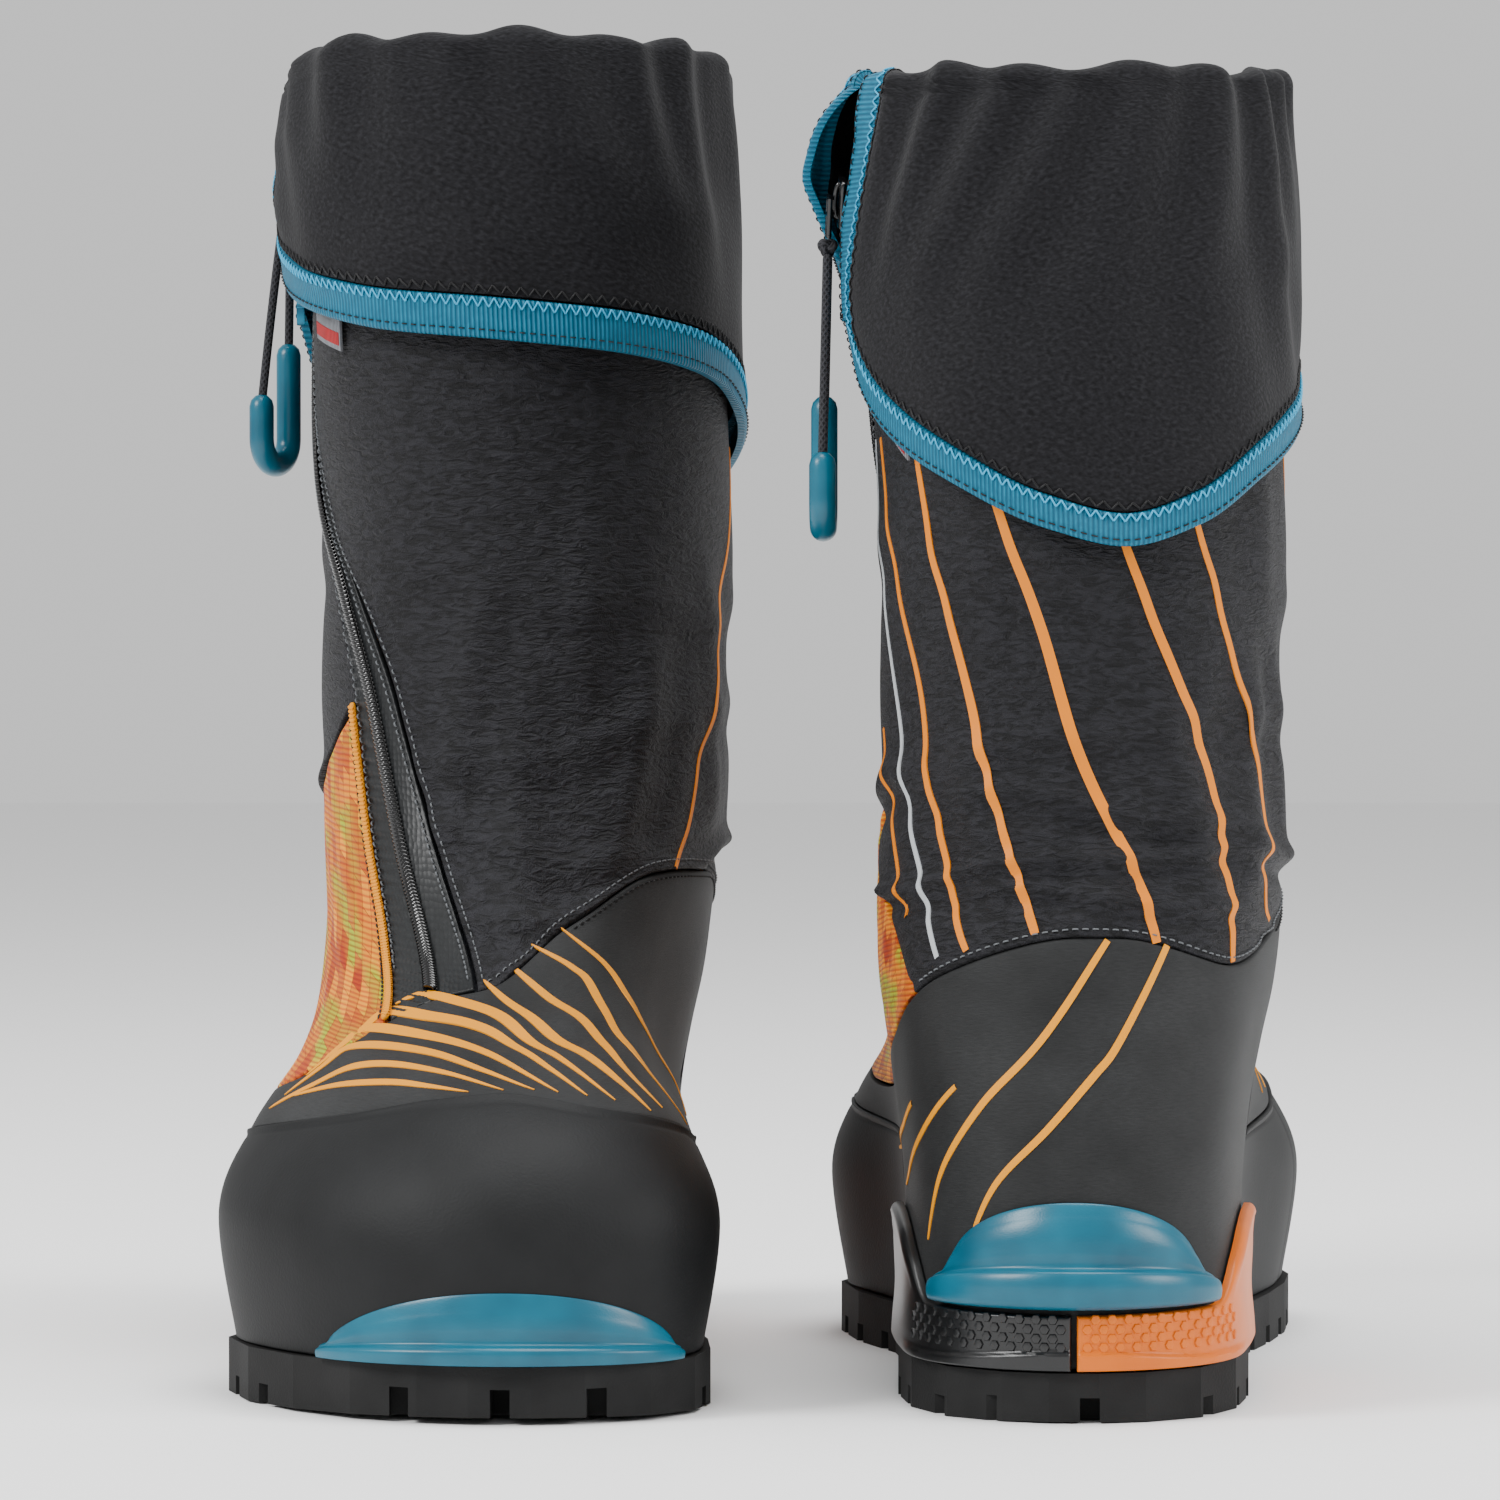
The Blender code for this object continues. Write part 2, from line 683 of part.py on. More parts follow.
def add_cuff(boot):
    """The collar, turned down over the gaiter: a long outer leg, a round fold and an inner leg."""
    flap = Flap(boot)
    turns = steps(flap.margin, 1 - flap.margin, 30)
    wide = steps(0, 1, 30)
    lift = BINDING_WIDTH / 630
    start = BINDING_START

    def place(depth):
        rows = []
        for share in (1, 0.8, 0.55, 0.3, 0):
            rows.append([
                flap.point(t, start + (flap.edge(t) + lift - start) * share, depth) for t in turns
            ])
        rows.append([flap.point(t, 1.0, depth) for t in wide])
        for bend in (130, 90, 50):
            out = -(FOLD_RADIUS + depth) * math.cos(math.radians(bend))
            up = (FOLD_RADIUS + depth) * math.sin(math.radians(bend))
            rows.append([
                off_form(boot, flap.angle(t, 1.0), 1.0, FOLD_RADIUS - WALL + out)
                + Vector((0, 0, up))
                for t in wide
            ])
        for level in (1.0, GAITER_TOP + 0.002):
            rows.append([off_form(boot, flap.angle(t, level), level, -WALL - depth) for t in wide])
        return rows

    add_wall(boot, "cuff", place, CUFF_WALL, CUFF_FABRIC)

    near, far = flap.margin - flap.seam, 1 - flap.margin + flap.seam

    def upright(turn):
        return [start + (flap.edge(turn) + lift - start) * share for share in (0, 0.3, 0.55, 0.8)]

    outline = [((0, level), (near, level)) for level in upright(turns[0])]
    for t, inside in ((0, near), *((t, t) for t in turns[1:-1]), (1, far)):
        outline.append(((t, flap.edge(t)), (inside, flap.edge(inside) + lift - 0.0008)))
    outline += [((1, level), (far, level)) for level in reversed(upright(turns[-1]))]

    def tape(depth):
        return [
            [flap.point(*ends[k], 0.4 + depth) for ends in outline] for k in (0, 1)
        ]

    add_wall(boot, "cuff_binding", tape, BINDING_THICK, BINDING_TAPE)


def label_top(angle):
    """The level of a label's hidden edge, just above the cuff's free edge."""
    return along(FLAP_EDGE, angle if angle > 84 else angle + 360) + 0.003


def add_labels(boot):
    """Two blank sewn labels that hang out from under the cuff's edge and follow it."""
    for name, middle, width, drop in (("front", 125, 14.0, 11.0), ("rear", 64, 26.0, 8.5)):
        angles = steps(middle - width / 2, middle + width / 2, 4)

        def place(depth, angles=angles, drop=drop):
            return [
                [off_form(boot, a, label_top(a) - drop / 630 * share, 2.4 + depth) for a in angles]
                for share in (1, 0.5, 0)
            ]

        add_wall(boot, f"label_{name}", place, 0.8, LABEL_TAPE)


# ---------------------------------------------------------------- the inner boot


def add_inner_boot(boot):
    """The insulated liner: a bootie with a sole, hollow down to the footbed."""
    angles = steps(0, 360, 24)[:-1]
    inner_offset = LINER_OFFSET - LINER_WALL
    outer = [[off_form(boot, a, v, LINER_OFFSET) for a in angles] for v in LINER_LEVELS]
    inner = [[off_form(boot, a, v, inner_offset) for a in angles] for v in LINER_LEVELS[1:]]
    for point in inner[0]:
        point.z = LINER_FLOOR
    for point in outer[0]:
        point.z = board_bottom(point.y) + BOARD_THICK + GAP + 0.2
    add_loft(boot, "inner_boot", outer + inner[::-1], LINER_FOAM)

    sole = [off_form(boot, a, 0.10, inner_offset - 1.2) for a in angles]
    sections = [
        [Vector((p.x, p.y, height)) for p in sole]
        for height in (LINER_FLOOR + GAP, LINER_FLOOR + 3.8)
    ]
    add_loft(boot, "footbed", sections, FOOTBED_FOAM)

    def band(levels, angles, offset):
        return lambda depth: [[off_form(boot, a, v, offset + depth) for a in angles] for v in levels]

    tongue = band(LINER_LEVELS[5:-1], steps(150, 210, 4), LINER_OFFSET + 2.1)
    add_wall(boot, "inner_boot_flap", tongue, 1.2, LINER_TRIM)
    strap = band(LINER_LEVELS[9:11], steps(90, 270, 12), LINER_OFFSET + 4.1)
    add_wall(boot, "inner_boot_strap", strap, 1.2, LINER_TRIM)

    rim = off_form(boot, 0, LINER_LEVELS[-1], LINER_OFFSET - LINER_WALL / 2)
    loop = [
        rim + Vector((9 * math.cos(turn), 0, 0.5 + 17 * math.sin(turn)))
        for turn in steps(0, math.pi, 12)
    ]
    add_tube(boot, "inner_boot_pull_loop", loop, 1.6, LINER_TRIM, rim)


# ---------------------------------------------------------------- the zip's slider and pull


def zip_direction(boot):
    """The straight way along which the slider travels, pointing up."""
    low = on_form(boot, zip_angle(0.86), 0.86)
    high = on_form(boot, zip_angle(boot.slider_level), boot.slider_level)
    return (high - low).normalized()


def add_slider(boot):
    """The slider on the coil. Returns its frame, which has Y outwards and Z up the zip."""
    frame = surface_frame(
        boot, zip_angle(boot.slider_level), boot.slider_level, SLIDER_OFFSET, zip_direction(boot)
    )
    add_box(boot, "zip_slider", SLIDER_SIZE, frame, BLACK_PLASTIC, 0.9)
    return frame


def in_frame(frame, x, y, z):
    """A point of a piece's frame (mm), in the boot's frame."""
    return frame @ (Vector((x, y, z)) * MM) / MM


def add_tab(boot, slider):
    """The tab that swings on the slider's face, with the hinge at its top edge."""
    hinge = in_frame(slider, 0, SLIDER_SIZE[1] / 2 + GAP + TAB_SIZE[1] / 2, 2)
    frame = slider.copy()
    frame.translation = hinge * MM
    tab = add_box(boot, "zip_tab", TAB_SIZE, frame, BLACK_PLASTIC, 0.5)
    for vertex in tab.data.vertices:
        vertex.co.z -= TAB_SIZE[2] / 2 * MM
    return frame


def hook_path(boot, knot_at):
    """The middle line of the J-shaped pull, from the end of its short arm to its long arm's.
    Its balance point hangs straight below the knot along the boot."""
    turn = math.radians(boot.hook_turn)
    across = Vector((math.cos(turn), math.sin(turn), 0))
    length = HOOK_LONG + HOOK_SHORT + math.pi * HOOK_HALF
    shift = Vector((boot.hook_lean, -across.y * HOOK_HALF * (HOOK_LONG - HOOK_SHORT) / length, 0))
    bottom = knot_at + shift + Vector((0, 0, -HOOK_DROP))
    path = [bottom - across * HOOK_HALF + Vector((0, 0, HOOK_SHORT))]
    path += [
        bottom - across * HOOK_HALF * math.cos(a) - Vector((0, 0, HOOK_HALF * math.sin(a)))
        for a in steps(0, math.pi, 10)
    ]
    path.append(bottom + across * HOOK_HALF + Vector((0, 0, HOOK_LONG)))
    return path


def cord_line(start, end, lean, count=16):
    """A hanging strand from start down to end, bowed out by a lean (mm)."""
    return [
        start.lerp(end, share) + lean * math.sin(math.pi * share)
        for share in steps(0, 1, count)
    ]


def add_pull(boot, tab):
    """The knot under the tab, the two strands of cord and the hook they hold."""
    knot_at = in_frame(tab, 0, 0, -TAB_SIZE[2] - KNOT_RADIUS - GAP)
    bm = bmesh.new()
    bmesh.ops.create_uvsphere(bm, u_segments=10, v_segments=7, radius=KNOT_RADIUS * MM)
    mesh = bpy.data.meshes.new("pull_knot")
    bm.to_mesh(mesh)
    bm.free()
    mesh.shade_smooth()
    knot = add_object(boot, "pull_knot", mesh, CORD_SHEATH)
    knot.location = knot_at * MM

    path = hook_path(boot, knot_at)
    add_tube(boot, "pull_hook", path, HOOK_RADIUS, TEAL_PLASTIC, knot_at, sides=3)
    turn = math.radians(boot.hook_turn)
    across = Vector((math.cos(turn), math.sin(turn), 0))
    for name, end, side in (("short", path[0], -1), ("long", path[-1], 1)):
        start = knot_at + across * side * 1.6 + Vector((0, 0, -KNOT_RADIUS - 0.1))
        stop = end + Vector((0, 0, GAP))
        add_tube(
            boot, f"pull_cord_{name}", cord_line(start, stop, across * side * 0.4),
            CORD_RADIUS, CORD_SHEATH, knot_at,
        )


def build(boot):
    add_sole(boot)
    add_welts(boot)
    add_counters(boot)
    add_rand(boot)
    add_shell(boot)
    add_ankle_panel(boot)
    add_zip(boot)
    add_gaiter(boot)
    add_cuff(boot)
    add_labels(boot)
    add_inner_boot(boot)
    slider = add_slider(boot)
    tab = add_tab(boot, slider)
    add_pull(boot, tab)


for old in list(bpy.data.objects):
    bpy.data.objects.remove(old)

CUTTERS = bpy.data.collections.new("cutters")
bpy.context.scene.collection.children.link(CUTTERS)

SOLE_RUBBER = material("sole_rubber", (0.015, 0.015, 0.016), 0.75)
RAND_RUBBER = material("rand_rubber", (0.012, 0.012, 0.014), 0.5)
BLACK_FOAM = material("black_foam", (0.02, 0.02, 0.02), 0.8)
CARBON_BOARD = material("carbon_board", (0.02, 0.02, 0.025), 0.35)
TEAL_PLASTIC = material("teal_plastic", (0.0, 0.16, 0.24), 0.35)
ORANGE_PLASTIC = material("orange_plastic", (0.85, 0.2, 0.0), 0.4)
BLACK_PLASTIC = material("black_plastic", (0.01, 0.01, 0.01), 0.25)
SHELL_FABRIC = material("shell_fabric", (0.02, 0.02, 0.021), 0.7)
GAITER_FABRIC = material("gaiter_fabric", (0.013, 0.013, 0.016), 0.8)
CUFF_FABRIC = material("cuff_fabric", (0.014, 0.014, 0.015), 0.9)
JACQUARD = material("jacquard", (0.8, 0.3, 0.02), 0.8)
RUBBERISED_TAPE = material("rubberised_tape", (0.02, 0.02, 0.02), 0.45)
BINDING_TAPE = material("binding_tape", (0.0, 0.17, 0.27), 0.7)
LABEL_TAPE = material("label_tape", (0.3, 0.3, 0.32), 0.7)
LINER_FOAM = material("liner_foam", (0.03, 0.03, 0.03), 0.9)
LINER_TRIM = material("liner_trim", (0.8, 0.3, 0.02), 0.8)
FOOTBED_FOAM = material("footbed_foam", (0.1, 0.1, 0.11), 0.9)
CORD_SHEATH = material("cord_sheath", (0.03, 0.03, 0.03), 0.8)

build(Boot("left", LEFT_PLACE, False, 0.0, -0.03, 10.0, 0.94, 90.0, -1.0))
build(Boot("right", RIGHT_PLACE, True, 14.0, 0.05, 5.0, 0.957, -65.0, -3.0))
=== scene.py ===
"""Looks of a pair of high-altitude double boots with built-in gaiters.

Each boot is made in its own frame, in millimetres: x to the medial side, y from the heel to the
toe, z up. The right boot is the mirror image of the left one. Most pieces lie on one form, the
outer surface of the upper. A place on it is an angle round the boot (0 at the heel, 90 lateral,
180 at the toe, 270 medial) and a level (0 at the sole's edge, 1 at the collar's fold).
"""

import math

import bmesh
import bpy
import numpy as np
from mathutils import Euler, Matrix, Vector


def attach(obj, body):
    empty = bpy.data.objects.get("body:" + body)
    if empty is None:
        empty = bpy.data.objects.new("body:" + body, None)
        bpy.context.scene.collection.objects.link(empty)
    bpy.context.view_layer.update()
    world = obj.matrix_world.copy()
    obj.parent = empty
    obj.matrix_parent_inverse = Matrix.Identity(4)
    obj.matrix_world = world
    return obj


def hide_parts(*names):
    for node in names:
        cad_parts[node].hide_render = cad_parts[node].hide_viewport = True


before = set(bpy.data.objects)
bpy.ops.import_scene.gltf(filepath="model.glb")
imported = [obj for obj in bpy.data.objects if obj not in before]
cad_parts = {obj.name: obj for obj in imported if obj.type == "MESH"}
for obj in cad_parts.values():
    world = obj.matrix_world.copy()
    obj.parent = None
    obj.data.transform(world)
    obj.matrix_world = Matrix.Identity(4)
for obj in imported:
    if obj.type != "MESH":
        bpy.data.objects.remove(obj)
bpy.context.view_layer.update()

MM = 0.001

# Sections of the form: back y and z, front y and z, half widths at 30, 60, 90, 120 and 150
# degrees, and the share of the toe's inward bend.
RINGS = (
    (6, 13, 311, 15, 34, 44.5, 43.5, 61, 44, 1.0),
    (4, 49, 312, 48, 33.5, 43.5, 47, 65.5, 47, 1.0),
    (5, 73, 300, 69, 34, 45, 48, 57, 40, 1.0),
    (9, 95, 274, 84, 35, 47, 50, 47, 31, 0.8),
    (13, 115, 240, 95, 35, 49, 52, 44, 26, 0.5),
    (17, 135, 204, 112, 34, 50, 53, 45, 26, 0.25),
    (19, 156, 177, 141, 33, 49, 54, 47, 28, 0.1),
    (19, 185, 164, 179, 30, 48, 54, 48, 29, 0.0),
    (16, 228, 160, 225, 29, 48, 55, 48, 29, 0.0),
    (16, 286, 160, 286, 29, 48.5, 55, 48.5, 29, 0.0),
    (19, 339, 162, 345, 29, 47.5, 54, 47.5, 29, 0.0),
)
CENTRE_LINE = ((0.0, -2), (0.5, -2), (0.72, -5), (1.0, 10))

# Seams on the form, as (angle, level) points.
ZIP_LINE = ((160, 0.45), (151, 0.60), (142, 0.70), (127, 0.77), (101, 0.835), (84, 0.90), (70, 1.0))
SHELL_TOP = (
    (0, 0.435), (30, 0.39), (65, 0.295), (100, 0.215), (125, 0.265), (142, 0.385),
    (160, 0.445), (178, 0.47), (198, 0.53), (226, 0.567), (262, 0.545), (295, 0.47),
    (325, 0.405), (352, 0.435), (360, 0.435),
)
RAND_TOP = (
    (84, 0.165), (105, 0.175), (125, 0.20), (150, 0.238), (165, 0.265), (180, 0.278),
    (200, 0.25), (225, 0.21), (242, 0.183), (276, 0.165),
)
PANEL_TOP = ((38, 0.375), (62, 0.50), (90, 0.60), (118, 0.665), (134, 0.70))
FLAP_EDGE = (
    (84, 0.918), (95, 0.915), (110, 0.903), (130, 0.893), (155, 0.885), (180, 0.881),
    (215, 0.875), (245, 0.866), (265, 0.853), (280, 0.843), (310, 0.82), (332, 0.797),
    (350, 0.786), (368, 0.795), (390, 0.817), (405, 0.832), (420, 0.852), (432, 0.878), (440, 0.90),
)
COUNTER_TOP = (
    (0, 0.045), (31, 0.047), (41, 0.073), (50, 0.09), (63, 0.10), (72, 0.094), (82, 0.045),
)
TAPE_FRONT = ((0.45, 12.0), (0.60, 9.5), (0.72, 7.0), (0.85, 5.0), (0.93, 5.0), (0.96, 3.4))
TAPE_REAR = ((0.45, 17.0), (0.60, 13.5), (0.72, 9.0), (0.85, 5.0), (0.93, 5.0), (0.96, 3.4))
PANEL_FEET = (41.9, 50, 59, 68, 77, 89, 98, 107, 116, 124, 132)
PANEL_HEADS = (41.9, 57, 73, 89, 105, 120)
PANEL_FRONT = (0.697, 0.65, 0.59, 0.53, 0.46, 0.41)

WALL = 2.4
SEAM_GAP = 1.0
RAND_FROM, RAND_TO = 84, 276
GAITER_TOP, ZIP_TOP = 0.94, 0.96
LINER_OFFSET, LINER_WALL, LINER_FLOOR, LINER_TOP = -8.0, 7.0, 38.5, 0.88
CUFF_WALL, FOLD_RADIUS = 2.0, 3.4
FOLD_OFFSET = 2 * FOLD_RADIUS - CUFF_WALL
FLAP_OUT, FLAP_LATERAL, SLIT_HALF = 6.3, 1.5, 5.5
BINDING_WIDTH, BINDING_START = 11.0, 0.988
SLIDER_SIZE, SLIDER_OFFSET = (8.0, 6.6, 13.0), 6.6
TAB_SIZE, KNOT_RADIUS, CORD_RADIUS = (4.6, 1.4, 11.0), 2.9, 1.25
HOOK_RADIUS, HOOK_HALF, HOOK_LONG, HOOK_SHORT, HOOK_DROP = 3.5, 7.4, 24.0, 9.0, 66.0
BOOT_YAW, TOP_LEAN = -2.5, -4.0

# How many millimetres one level spans, low on the boot and at its top.
LOW_SPAN, TOP_SPAN = 420, 630
# Below this level the cuff's flap hangs straight down.
FLAP_STRAIGHT = 0.9
# Levels from 1 to FOLD_LEVELS more run over the collar's fold.
FOLD_LEVELS = 0.03
# The height of a printed line in mm, and the share of a running stitch's pitch that shows.
PRINT_LIFT, STITCH_SHARE = 0.28, 0.62
# How square a bar's corners are: 2 gives an ellipse.
SQUARENESS = 3.2
# Where the cloth patterns' distances are measured: round the boot at a level, and up an angle.
WEAVE_LEVEL, WEAVE_ANGLE = 0.62, 60
# The level on the zip that the slider's axis points away from.
SLIDER_AIM = 0.86
# The stabiliser's hexagons: the lowest row's level, the first angle, and the steps to the next.
HEXAGON_LEVEL, HEXAGON_ROW = 0.0245, 0.0062
HEXAGON_ANGLE, HEXAGON_STEP, HEXAGON_LAST = 2.6, 3.1, 38

CAMERA_PLACE = (-0.0094, -1.8925, 0.2005)
CAMERA_DIP, CAMERA_LENS, CAMERA_SENSOR = 1.017, 166.4, 36


# ---------------------------------------------------------------- camera


def add_camera():
    data = bpy.data.cameras.new("camera")
    data.sensor_width = CAMERA_SENSOR
    data.lens = CAMERA_LENS
    camera = bpy.data.objects.new("camera", data)
    camera.location = CAMERA_PLACE
    camera.rotation_euler = (math.radians(90 - CAMERA_DIP), 0, 0)
    bpy.context.scene.collection.objects.link(camera)
    bpy.context.scene.camera = camera


add_camera()


# ---------------------------------------------------------------- curves and the form


def spline(p0, p1, p2, p3, u):
    """The Catmull-Rom curve through p1 and p2, at u from 0 to 1."""
    return 0.5 * (
        2 * p1 + (p2 - p0) * u + (2 * p0 - 5 * p1 + 4 * p2 - p3) * u * u
        + (3 * p1 - p0 - 3 * p2 + p3) * u * u * u
    )


def along(points, x):
    """The smooth curve through (x, y) points that never overshoots them, at x."""
    px, py = np.array(points, float).T
    slope = np.diff(py) / np.diff(px)
    tangent = np.zeros(len(px))
    same = slope[:-1] * slope[1:] > 0
    tangent[1:-1][same] = (2 * slope[:-1] * slope[1:])[same] / (slope[:-1] + slope[1:])[same]
    x = np.clip(x, px[0], px[-1])
    i = np.clip(np.searchsorted(px, x, side="right") - 1, 0, len(px) - 2)
    step = px[i + 1] - px[i]
    u = (x - px[i]) / step
    return (
        (2 * u**3 - 3 * u**2 + 1) * py[i] + (u**3 - 2 * u**2 + u) * tangent[i] * step
        + (3 * u**2 - 2 * u**3) * py[i + 1] + (u**3 - u**2) * tangent[i + 1] * step
    )


def smooth_step(low, high, x):
    u = np.clip((x - low) / (high - low), 0, 1)
    return u * u * (3 - 2 * u)


def bell(x, middle, width):
    """A smooth bump of height 1."""
    return np.exp(-(((x - middle) / width) ** 2))


def unit(v):
    return v / np.maximum(np.linalg.norm(v, axis=-1, keepdims=True), 1e-12)


RING_ROWS = np.array(RINGS, float)
NO_WIDTH = np.zeros((len(RINGS), 1))
LOBES = np.hstack([NO_WIDTH, RING_ROWS[:, 4:9], NO_WIDTH, -RING_ROWS[:, 8:3:-1]])


def ring_point(ring, angle):
    """Places on the sections themselves, from section numbers and angles."""
    turn = angle % 360 / 30
    lobe = np.floor(turn).astype(int)
    near = [LOBES[ring, (lobe + k) % 12] for k in (-1, 0, 1, 2)]
    share = (1 - np.cos(np.radians(angle))) / 2
    back_y, back_z, front_y, front_z = RING_ROWS[ring, :4].T
    x = along(CENTRE_LINE, share) * RING_ROWS[ring, 9] - spline(*near, turn - lobe)
    y = back_y + (front_y - back_y) * share
    z = back_z + (front_z - back_z) * share
    return np.stack([x, y, z], 1)


def on_form(boot, angle, level):
    """The places on the form at angles and levels, in the shape that these arrays have."""
    angle, level = np.broadcast_arrays(np.asarray(angle, float), np.asarray(level, float))
    shape, angle, level = angle.shape, angle.ravel(), level.ravel()
    last = len(RINGS) - 1
    height = np.clip(level, 0, 1) * last
    i = np.minimum(height.astype(int), last - 1)
    near = [ring_point(np.clip(i + k, 0, last), angle) for k in (-1, 0, 1, 2)]
    point = spline(*near, (height - i)[:, None])
    point[:, 0] *= 1 + boot.spread * smooth_step(0.45, 0.7, level)
    point[:, 0] += TOP_LEAN * smooth_step(0.78, 1.0, level)
    point[:, 2] += boot.top_lift * np.maximum(0.0, (level - 0.8) / 0.2) ** 1.3
    return point.reshape(*shape, 3)


def form_normal(boot, angle, level):
    """The direction straight out of the form."""
    low, high = np.maximum(np.asarray(level) - 0.004, 0), np.minimum(np.asarray(level) + 0.004, 1)
    up = on_form(boot, angle, high) - on_form(boot, angle, low)
    angle = np.asarray(angle)
    return unit(np.cross(up, on_form(boot, angle + 1.5, level) - on_form(boot, angle - 1.5, level)))


def off_form(boot, angle, level, offset):
    """Places a distance (mm) out of the form."""
    offset = np.asarray(offset, float)[..., None]
    return on_form(boot, angle, level) + form_normal(boot, angle, level) * offset


def degrees_of(boot, angle, level, distance):
    """How many degrees round the form a distance (mm) takes at a place."""
    angle = np.asarray(angle, float)
    run = on_form(boot, angle + 4, level) - on_form(boot, angle - 4, level)
    return distance * 8 / np.linalg.norm(run, axis=-1)


def run_along(points):
    """The distance from the start of a line to each of its points."""
    return np.concatenate([[0], np.cumsum(np.linalg.norm(np.diff(points, axis=0), axis=1))])


def arc_tables(boot):
    """Distances round the form and up it, for laying a weave on it in millimetres."""
    round_it = on_form(boot, np.arange(361), WEAVE_LEVEL)
    up = on_form(boot, WEAVE_ANGLE, np.linspace(0, 1, 101))
    return run_along(round_it), run_along(up)


class Boot:
    """One boot of the pair: what differs from the other, and where it stands."""

    def __init__(
        self, side, place, mirrored, top_lift, spread, flare, slider_level, hook_turn, hook_lean,
        folds,
    ):
        self.side, self.mirrored, self.folds = side, mirrored, folds
        self.top_lift, self.spread, self.flare = top_lift, spread, flare
        self.slider_level, self.hook_turn, self.hook_lean = slider_level, hook_turn, hook_lean
        turn = Euler((0, 0, math.radians(BOOT_YAW)))
        stretch = Vector((1, -1 if mirrored else 1, 1))
        self.matrix = np.array(Matrix.LocRotScale(Vector(place), turn, stretch))
        self.round_mm, self.up_mm = arc_tables(self)

    def world(self, points):
        """Points of this boot in metres, in the shared frame."""
        return (points @ self.matrix[:3, :3].T + self.matrix[:3, 3]) * MM

    def weave(self, angle, level):
        """Distances round and up the form, in metres, from which the cloth patterns are laid."""
        turns, rest = np.divmod(angle, 360)
        u = turns * self.round_mm[-1] + np.interp(rest, np.arange(361), self.round_mm)
        return u * MM, np.interp(level, np.linspace(0, 1, 101), self.up_mm) * MM


# ---------------------------------------------------------------- meshes


class Patch:
    """Grids of points gathered into one mesh."""

    def __init__(self):
        self.points, self.faces, self.corners, self.count = [], [], [], 0

    def grid(self, points, u=None, v=None, wrap=False):
        """Rows of points joined by quads. A wrapped grid's u and v hold one more column."""
        rows, columns = points.shape[:2]
        index = self.count + np.arange(rows * columns).reshape(rows, columns)
        if wrap:
            index = np.hstack([index, index[:, :1]])
        if u is None:
            v, u = np.meshgrid(np.arange(index.shape[0]), np.arange(index.shape[1]), indexing="ij")
            u, v = u * MM, v * MM
        uv = np.stack([u, v], -1)
        self.faces.append(four_corners(index).reshape(-1, 4))
        self.corners.append(four_corners(uv).reshape(-1, 4, 2))
        self.points.append(points.reshape(-1, 3))
        self.count += rows * columns

    def make(
        self, boot, name, finish, stands_for=(), body="boot", closed=False, sharp=50
    ):
        """The object made of these grids. It rides on a body of its boot."""
        faces, corners = np.concatenate(self.faces), np.concatenate(self.corners)
        if boot.mirrored:
            faces, corners = faces[:, ::-1], corners[:, ::-1]
        mesh = bpy.data.meshes.new(name)
        mesh.from_pydata(boot.world(np.concatenate(self.points)), [], faces.tolist())
        mesh.uv_layers.new(name="weave").data.foreach_set("uv", corners.ravel())
        if closed:
            weld(mesh)
        mesh.shade_smooth()
        mesh.set_sharp_from_angle(angle=math.radians(sharp))
        mesh.materials.append(FINISHES[finish])
        made = bpy.data.objects.new(f"{boot.side}_{name}", mesh)
        bpy.context.scene.collection.objects.link(made)
        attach(made, f"{boot.side}_{body}")
        if stands_for:
            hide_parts(*(f"{boot.side}_{node}" for node in stands_for))
        return made


def four_corners(grid):
    """The values at the four corners of each quad of a grid."""
    return np.stack([grid[:-1, :-1], grid[1:, :-1], grid[1:, 1:], grid[:-1, 1:]], 2)


def weld(mesh):
    """Joins points that lie together, and turns all faces outwards."""
    bm = bmesh.new()
    bm.from_mesh(mesh)
    bmesh.ops.remove_doubles(bm, verts=bm.verts, dist=2e-6)
    bmesh.ops.recalc_face_normals(bm, faces=bm.faces)
    bm.to_mesh(mesh)
    bm.free()


def edge_steps(count, length, radius):
    """Shares from 0 to 1 that crowd at both ends, where an edge is rounded."""
    near = radius / length * np.array([0.0, 0.12, 0.35, 0.65, 1.0])
    middle = np.linspace(0, 1, count + 1)
    middle = middle[(middle > near[-1] * 1.2) & (middle < 1 - near[-1] * 1.2)]
    return np.concatenate([near, middle, 1 - near[::-1]])


def rolled(distance, radius):
    """How far a rounded edge has dropped at a distance from it."""
    inside = np.clip(radius - distance, 0, radius)
    return radius - np.sqrt(radius**2 - inside**2)


def skin(boot, patch, place, counts, size, depth=0.0, relief=None, thick=WALL, radius=1.0,
         around=None):
    """A wall's outer face with rounded edges that turn in to the wall's back.
    place gives angles and levels for shares up and round; around lists the angles of a band
    that closes on itself."""
    s = edge_steps(counts[0], size[0], radius)
    t = edge_steps(counts[1], size[1], radius) if around is None else np.array(around, float)
    up, across = np.meshgrid(s, t, indexing="ij")
    near = np.minimum(up, 1 - up) * size[0]
    if around is None:
        near = np.minimum(near, np.minimum(across, 1 - across) * size[1])
    angle, level = place(up, across)
    offset = depth - rolled(near, radius)
    if relief:
        offset = offset + relief(angle, level)
    pad = ((1, 1), (1, 1)) if around is None else ((1, 1), (0, 0))
    angle, level, offset = (np.pad(a, pad, mode="edge") for a in (angle, level, offset))
    offset[[0, -1]] = depth - thick
    if around is None:
        offset[:, [0, -1]] = depth - thick
    points = off_form(boot, angle, level, offset)
    if around is not None:
        angle = np.hstack([angle, angle[:, :1] + 360])
        level = np.hstack([level, level[:, :1]])
    patch.grid(points, *boot.weave(angle, level), wrap=around is not None)


